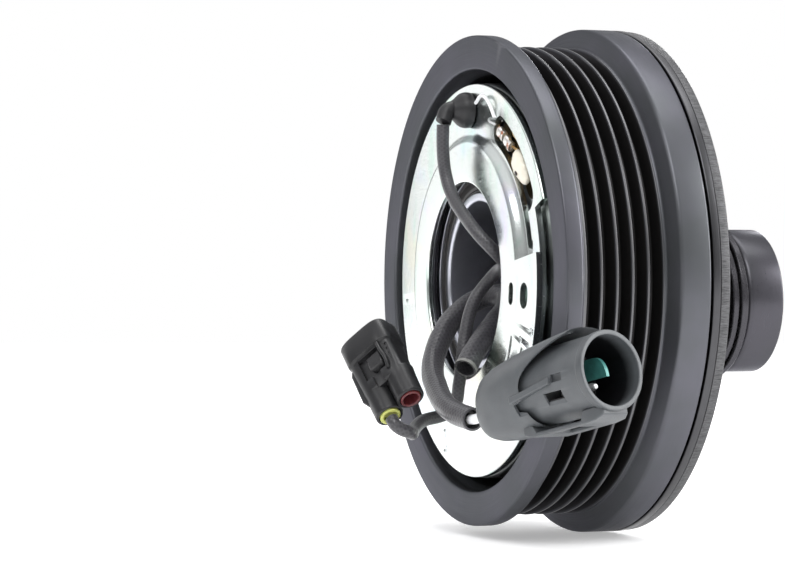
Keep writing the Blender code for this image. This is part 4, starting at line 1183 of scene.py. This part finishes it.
def make_small_plug():
    length = SMALL_PLUG_LENGTH
    sections = [
        (-5.8, 2.9, 5.2, 0.0, 3.0),
        (-6.2, 3.4, 5.7, 0.0, 3.2),
        (-6.8, 3.5, 5.75, 0.0, 3.4),
        (-14.6, 3.6, 5.7, 0.0, 5.0),
        (-14.8, 3.7, 5.8, 0.0, 5.0),
        (-15.1, 4.3, 6.1, 0.0, 4.0),
        (-15.6, 4.4, 6.2, 0.0, 3.8),
        (-length + 0.5, 4.4, 6.2, 0.0, 3.8),
        (-length + 0.1, 4.25, 6.05, 0.0, 3.8),
        (-length, 4.0, 5.8, 0.0, 3.8),
    ]
    shape = skinned([rounded_ring(*section, 96) for section in sections])
    node, slot = "small_plug_housing", "black_plastic"
    body = piece("small_plug_body", shape, BLACK, "coil", [node], slot, SMALL_PLUG, angle=45)
    for side in (-1, 1):
        barrel = [(0.0, 0.0, 0), (3.05, 0.0, 0.35), (3.15, -5.0, 0), (3.35, -7.6, 0.5), (0.0, -8.0, 0)]
        level = side * (SEAL_SPACING / 2 + 0.02)
        cut(body, turned_on_x(barrel, 72, up=level), "UNION", SMALL_PLUG, overlapping=True)
    cuts = [block((-length - 1.0, -3.0, -4.5), (-length + 6.0, 3.0, 4.5))]
    cuts.append(block((-14.3, -5.0, -3.0), (-8.6, -2.6, 3.4)))
    cuts.append(block((-8.8, -5.0, -1.3), (-1.5, -2.7, 1.0)))
    for rib in range(5):
        cuts.append(block((-13.9 + rib * 1.3, -5.0, 4.3), (-13.2 + rib * 1.3, -3.1, 6.6)))
    for side in (-1, 1):
        seat = [(0.0, 1.0, 0), (2.5, 1.0, 0), (2.5, -4.0, 0), (0.0, -4.0, 0)]
        cuts.append(turned_on_x(seat, 48, up=side * SEAL_SPACING / 2))
    cut(body, joined(cuts), place=SMALL_PLUG, overlapping=True)
    soften(body, 0.16, 2, 40)
    latch = barred(
        [
            (-13.6, -2.5, -3.3, -0.4, 2.6),
            (-12.6, -2.5, -4.2, -0.8, 2.8),
            (-9.6, -2.5, -4.4, -0.8, 2.8),
            (-9.2, -2.5, -3.4, -0.4, 2.4),
        ]
    )
    piece("small_plug_latch", latch, BLACK, "coil", (), slot, SMALL_PLUG, bevel=0.28)
    bar = smooth_line([(-14.8, -3.9, 3.1), (-12.4, -4.3, 3.3), (-9.8, -4.2, 3.6), (-7.6, -3.6, 3.0)], 8)
    piece("small_plug_latch_bar", tube(bar, 0.42, 14), BLACK, "coil", (), slot, SMALL_PLUG)
    rail = barred(
        [
            (-14.9, -1.8, 1.8, -5.0, -6.1),
            (-13.4, -2.2, 2.2, -5.0, -6.5),
            (-6.0, -2.2, 2.2, -5.0, -6.6),
            (-3.8, -1.9, 1.9, -5.0, -5.6),
        ]
    )
    piece("small_plug_rail", rail, BLACK, "coil", (), slot, SMALL_PLUG, bevel=0.3)
    for name, node, side, material, slot, hole, depth in (
        ("yellow_wire_seal", "small_plug_seal_yellow", -1, YELLOW, "yellow_silicone", 1.25, -0.7),
        ("red_blind_seal", "small_plug_seal_red", 1, RED, "red_silicone", 1.5, -2.9),
    ):
        lip = [
            (0.0, -3.6, 0),
            (2.2, -3.6, 0.3),
            (2.2, -0.2, 0.3),
            (2.3, 0.35, 0.3),
            (hole + 0.2, 0.35, 0.3),
            (hole, depth, 0.2),
            (0.0, depth, 0),
        ]
        seal = turned_on_x(lip, 64, up=side * SEAL_SPACING / 2)
        piece(name, seal, material, "coil", [node], slot, SMALL_PLUG)
    for number in (1, 2):
        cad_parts[f"small_plug_terminal_{number}"].data.materials[0] = BRASS


# ---------------------------------------------------------------- armature, hub and dampers

ARMATURE_BORE_R = 26.0
ARMATURE_SLOT_R = (31.5, 39.6)
DAMPER_PITCH_R = 37.5
LOBE_R = 16.0
HUB_OPENING_R = 24.3
PIN_R = 4.7
PIN_SHANK_R = 2.9
PIN_HOLE_R = 3.2
RIVET_HOLE_R = 2.1
STAKES = 4
STAKE_PITCH_R = 12.4


def make_armature():
    rim, rear, front = RIM_FRONT_R, ARMATURE_REAR_Y, ARMATURE_FRONT_Y
    seam = rear - 1.75
    corners = [
        (ARMATURE_BORE_R, rear, 0.3),
        (rim, rear, 0.35),
        (rim, seam + 0.12, 0.05),
        (rim - 0.3, seam, 0.05),
        (rim - 0.12, seam - 0.15, 0.05),
        (rim - 0.2, front, 0.45),
        (ARMATURE_BORE_R, front, 0.4),
    ]
    plate = lathe("armature", corners, 240, FACE_STEEL, "armature", ["armature_plate"], "grey_steel")
    shapes = []
    for angle, centre in zip(DAMPER_ANGLES, DAMPER_CENTRES):
        outline = arc_slot(*ARMATURE_SLOT_R, angle + math.pi / 3, math.radians(36))
        shapes.append(extruded([outline], rear + 1.0, front - 1.0))
        shapes.append(extruded([circle(PIN_HOLE_R, 40, centre)], rear + 1.0, front - 1.0))
    cut(plate, joined(shapes), overlapping=True)
    plate.data.materials.append(TORN)
    for face in plate.data.polygons:
        x, y, z = (c / MM for c in face.center)
        on_rim = math.hypot(x, z) > rim - 0.6
        if on_rim and y < seam and abs(face.normal.y) < 0.5:
            face.material_index = 1
    soften(plate, 0.15, 2, 50)
    for number, centre in enumerate(DAMPER_CENTRES, 1):
        node = f"armature_pin_{number}"
        head, tip = levels(node)
        pin = [
            (0.0, head, 0),
            (PIN_SHANK_R, head, 0.3),
            (PIN_SHANK_R, front - GAP, 0),
            (PIN_R, front - GAP, 0.3),
            (PIN_R, tip, 0.5),
            (0.0, tip, 0),
        ]
        details = (CAP_STEEL, "armature", [node], "dark_steel")
        lathe(f"damper_pin_{number}", pin, 64, *details, centre=centre)


def lobed_outline(lobe_r, steps=40):
    outline = []
    for angle in DAMPER_ANGLES:
        centre = polar(DAMPER_PITCH_R, angle)
        outline += arc(lobe_r, angle - math.pi / 3, angle + math.pi / 3, steps, centre)
    return outline


def scalloped_outline(inner, outer, lobes, steps):
    outline = []
    for step in range(lobes * steps):
        angle = TURN * step / (lobes * steps)
        bulge = abs(math.sin(lobes * angle / 2)) ** 0.7
        outline.append(polar(inner + (outer - inner) * bulge, angle))
    return outline


def make_hub_plates():
    for name, node, lobe_r in (
        ("hub_front_plate", "hub_plate", LOBE_R),
        ("hub_rear_plate", "hub_back_plate", LOBE_R - 0.5),
    ):
        loops = [lobed_outline(lobe_r), circle(HUB_OPENING_R, 128)]
        loops += [circle(PIN_R + GAP, 48, centre) for centre in DAMPER_CENTRES]
        piece(name, extruded(loops, *levels(node)), GLOSSY, "hub", [node], "coated_steel", bevel=0.3)


SPLINE_TEETH = 24
# One tooth and one gap of the spline: the share of that width and the radius there.
TOOTH_SHAPE = (
    (0.0, 6.42), (0.06, 6.5), (0.40, 6.5), (0.46, 6.42), (0.54, 5.88), (0.58, 5.8), (0.88, 5.8), (0.92, 5.88)
)


def make_hub_centre():
    rear, front = levels("hub_boss")
    corners = [
        (4.0, rear, 0),
        (10.6, rear, 0.5),
        (10.6, rear - 6.7, 0.6),
        (23.5, rear - 6.7, 0.5),
        (23.5, rear - 9.1, 0.4),
        (11.8, rear - 9.1, 0.2),
        (11.8, front, 0.6),
        (4.0, front, 0),
    ]
    boss = lathe("splined_boss", corners, 128, FACE_STEEL, "hub", ["hub_boss"], "grey_steel")
    teeth = []
    for tooth in range(SPLINE_TEETH):
        for share, radius in TOOTH_SHAPE:
            teeth.append(polar(radius, TURN * (tooth + share) / SPLINE_TEETH))
    cut(boss, extruded([teeth], rear + 1.0, front - 1.0))
    rivet_holes = [circle(RIVET_HOLE_R, 32, centre) for centre in RIVET_CENTRES]
    cut(boss, joined([extruded([hole], -30.0, -40.0) for hole in rivet_holes]))
    soften(boss, 0.12, 2, 50)
    loops = [circle(25.4, 160), scalloped_outline(12.6, 16.4, 8, 24), *rivet_holes]
    disc = extruded(loops, *levels("hub_disc"))
    piece("spring_disc", disc, FACE_STEEL, "hub", ["hub_disc"], "grey_steel", bevel=0.3)
    for number, centre in enumerate(RIVET_CENTRES, 1):
        node = f"hub_rivet_{number}"
        rear, tip = levels(node)
        seat = rear - 4.85
        rivet = [
            (0.0, rear, 0),
            (1.8, rear, 0.2),
            (1.8, seat, 0),
            (3.0, seat, 0.3),
            (2.9, seat - 0.7, 0.4),
            (2.0, tip + 0.35, 0.7),
            (0.0, tip, 0),
        ]
        lathe(f"rivet_{number}", rivet, 48, FACE_STEEL, "hub", [node], "grey_steel", centre=centre)


def make_dampers():
    rear, rim = CUP_REAR_Y, CUP_FRONT_Y
    wall_r, floor = CUP_R - 0.9, CUP_REAR_Y - 1.2
    cup = [
        (6.0, rear, 0.3),
        (CUP_R, rear, 1.5),
        (CUP_R, rim, 0.45),
        (wall_r, rim, 0.3),
        (wall_r, floor, 0.6),
        (6.0, floor, 0.3),
    ]
    rubber_r = wall_r - 0.05
    rubber = [
        (5.1, floor - GAP, 0.2),
        (rubber_r, floor - GAP, 0.4),
        (rubber_r, rim + 0.75, 0.25),
        (13.4, rim + 0.75, 0.2),
        (13.2, rim + 1.9, 0.2),
        (5.1, rim + 1.9, 0.2),
    ]
    cap = [
        (0.0, rim + 1.3, 0),
        (13.0, rim + 1.3, 0.2),
        (13.6, rim + 0.25, 0.3),
        (12.9, rim + 0.1, 0.25),
        (12.0, rim + 0.1, 0.3),
        (11.4, rim + 0.95, 0.3),
        (9.3, rim + 0.95, 0.3),
        (8.3, rim + 0.2, 0.5),
        (5.8, rim + 0.2, 0.5),
        (5.0, rim + 0.65, 0.3),
        (3.2, rim + 0.65, 0.3),
        (2.4, rim + 0.95, 0.3),
        (0.0, rim + 0.95, 0),
    ]
    for number, (angle, centre) in enumerate(zip(DAMPER_ANGLES, DAMPER_CENTRES), 1):
        node = f"damper_cup_{number}"
        lathe(f"cup_{number}", cup, 112, CUP, "hub", [node], "coated_steel", centre=centre)
        node = f"damper_rubber_{number}"
        lathe(f"rubber_{number}", rubber, 96, RUBBER, "hub", [node], "black_rubber", centre=centre)
        disc = turned(filleted(cap, 3), 144, centre)
        for stake in range(STAKES):
            where = polar(STAKE_PITCH_R, TURN * (stake + 0.5) / STAKES + angle, centre)
            for vert in disc.verts:
                gap = math.hypot(vert.co.x - where[0], vert.co.z - where[1])
                if vert.co.y < rim + 0.6:
                    vert.co.y += 0.9 * math.exp(-((gap / 0.75) ** 2))
        piece(f"cap_{number}", disc, CAP_STEEL, "hub", [f"damper_cap_{number}"], "dark_steel")


make_pulley()
make_bearing()
make_coil()
make_plate()
make_grommet()
make_protector()
make_lead_ends()
make_leads()
make_plug_barrel()
make_plug_hood()
make_plug_contacts()
make_small_plug()
make_armature()
make_hub_plates()
make_hub_centre()
make_dampers()


# ---------------------------------------------------------------- floor, light and camera


FLOOR_R = 2.6


def make_stage():
    floor_z = CAD_BOX[0][2] - 0.0005
    built = bmesh.new()
    angles = [TURN * i / 64 for i in range(64)]
    ring = [Vector((FLOOR_R * math.cos(a), FLOOR_R * math.sin(a), floor_z)) for a in angles]
    built.faces.new([built.verts.new(point) for point in ring])
    bmesh.ops.recalc_face_normals(built, faces=built.faces)
    mesh = bpy.data.meshes.new("floor")
    built.to_mesh(mesh)
    built.free()
    floor = bpy.data.objects.new("floor", mesh)
    bpy.context.collection.objects.link(floor)
    n = Nodes("pale_floor")
    soft = n.noise(n.place(), 0.004, 2.0)
    colour = n.ramp(soft, (0.3, (0.90, 0.90, 0.90)), (0.7, (0.92, 0.92, 0.92)))
    white = (1.0, 1.0, 1.0, 1.0)
    mesh.materials.append(n.finish(colour, 0.7, None, Emission_Color=white, Emission_Strength=0.35))


def panel_light(name, place, target, size, power):
    light = bpy.data.lights.new(name, "AREA")
    light.shape = "RECTANGLE"
    light.size, light.size_y = size
    light.energy = power
    obj = bpy.data.objects.new(name, light)
    bpy.context.collection.objects.link(obj)
    obj.location = place
    obj.rotation_euler = (Vector(target) - Vector(place)).to_track_quat("-Z", "Y").to_euler()


def make_lights():
    """A white studio: plain white to look at, with a soft sky that is brighter overhead."""
    world = bpy.data.worlds.new("studio")
    bpy.context.scene.world = world
    bpy.context.scene.view_settings.view_transform = "Standard"
    world.use_nodes = True
    tree = world.node_tree
    background = tree.nodes["Background"]
    where = tree.nodes.new("ShaderNodeTexCoord").outputs["Generated"]
    parts = tree.nodes.new("ShaderNodeSeparateXYZ")
    tree.links.new(where, parts.inputs[0])
    ramp = tree.nodes.new("ShaderNodeValToRGB")
    tree.links.new(parts.outputs[2], ramp.inputs[0])
    stops = ((0.0, 0.25), (0.35, 0.5), (0.7, 0.9), (1.0, 1.1))
    while len(ramp.color_ramp.elements) < len(stops):
        ramp.color_ramp.elements.new(0.5)
    for element, (position, level) in zip(ramp.color_ramp.elements, stops):
        element.position = position
        element.color = (level, level, level * 1.02, 1.0)
    seen = tree.nodes.new("ShaderNodeLightPath").outputs["Is Camera Ray"]
    mix = tree.nodes.new("ShaderNodeMix")
    mix.data_type = "RGBA"
    tree.links.new(seen, mix.inputs[0])
    tree.links.new(ramp.outputs[0], mix.inputs[6])
    mix.inputs[7].default_value = (1.0, 1.0, 1.0, 1.0)
    tree.links.new(mix.outputs[2], background.inputs["Color"])
    middle = (0.0, -0.015, -0.005)
    for name, place, size, power in (
        ("key", (-0.75, 0.35, 0.95), (0.6, 0.6), 7.0),
        ("plate_fill", (0.9, 0.45, 0.15), (0.55, 0.7), 1.3),
        ("hub_side", (-0.5, -0.8, 0.35), (0.4, 0.7), 9.0),
        ("hub_strip", (0.95, -0.75, 0.3), (0.12, 0.7), 4.0),
        ("rim_strip", (-0.25, 0.95, 0.75), (0.5, 0.10), 1.5),
        ("top", (0.1, -0.2, 0.9), (0.8, 0.4), 4.0),
    ):
        panel_light(name, place, middle, size, power)


def make_camera():
    """The camera of the photograph's right-hand view, in metres: round the object, then shifted across."""
    camera = bpy.data.cameras.new("camera")
    camera.sensor_width = 36.0
    camera.lens = 135.1
    camera.clip_start, camera.clip_end = 0.05, 20.0
    obj = bpy.data.objects.new("camera", camera)
    bpy.context.collection.objects.link(obj)
    azimuth, elevation = math.radians(249.570), math.radians(-0.246)
    distance = 0.649934
    sideways, upwards = -0.016759, -0.000301
    right = Vector((math.cos(azimuth), math.sin(azimuth), 0))
    level = math.cos(elevation)
    back = Vector((math.sin(azimuth) * level, -math.cos(azimuth) * level, math.sin(elevation)))
    up = back.cross(right)
    turn = Matrix((right, up, back)).transposed().to_4x4()
    obj.matrix_world = Matrix.Translation(back * distance + right * sideways + up * upwards) @ turn
    bpy.context.scene.camera = obj


make_stage()
make_lights()
make_camera()
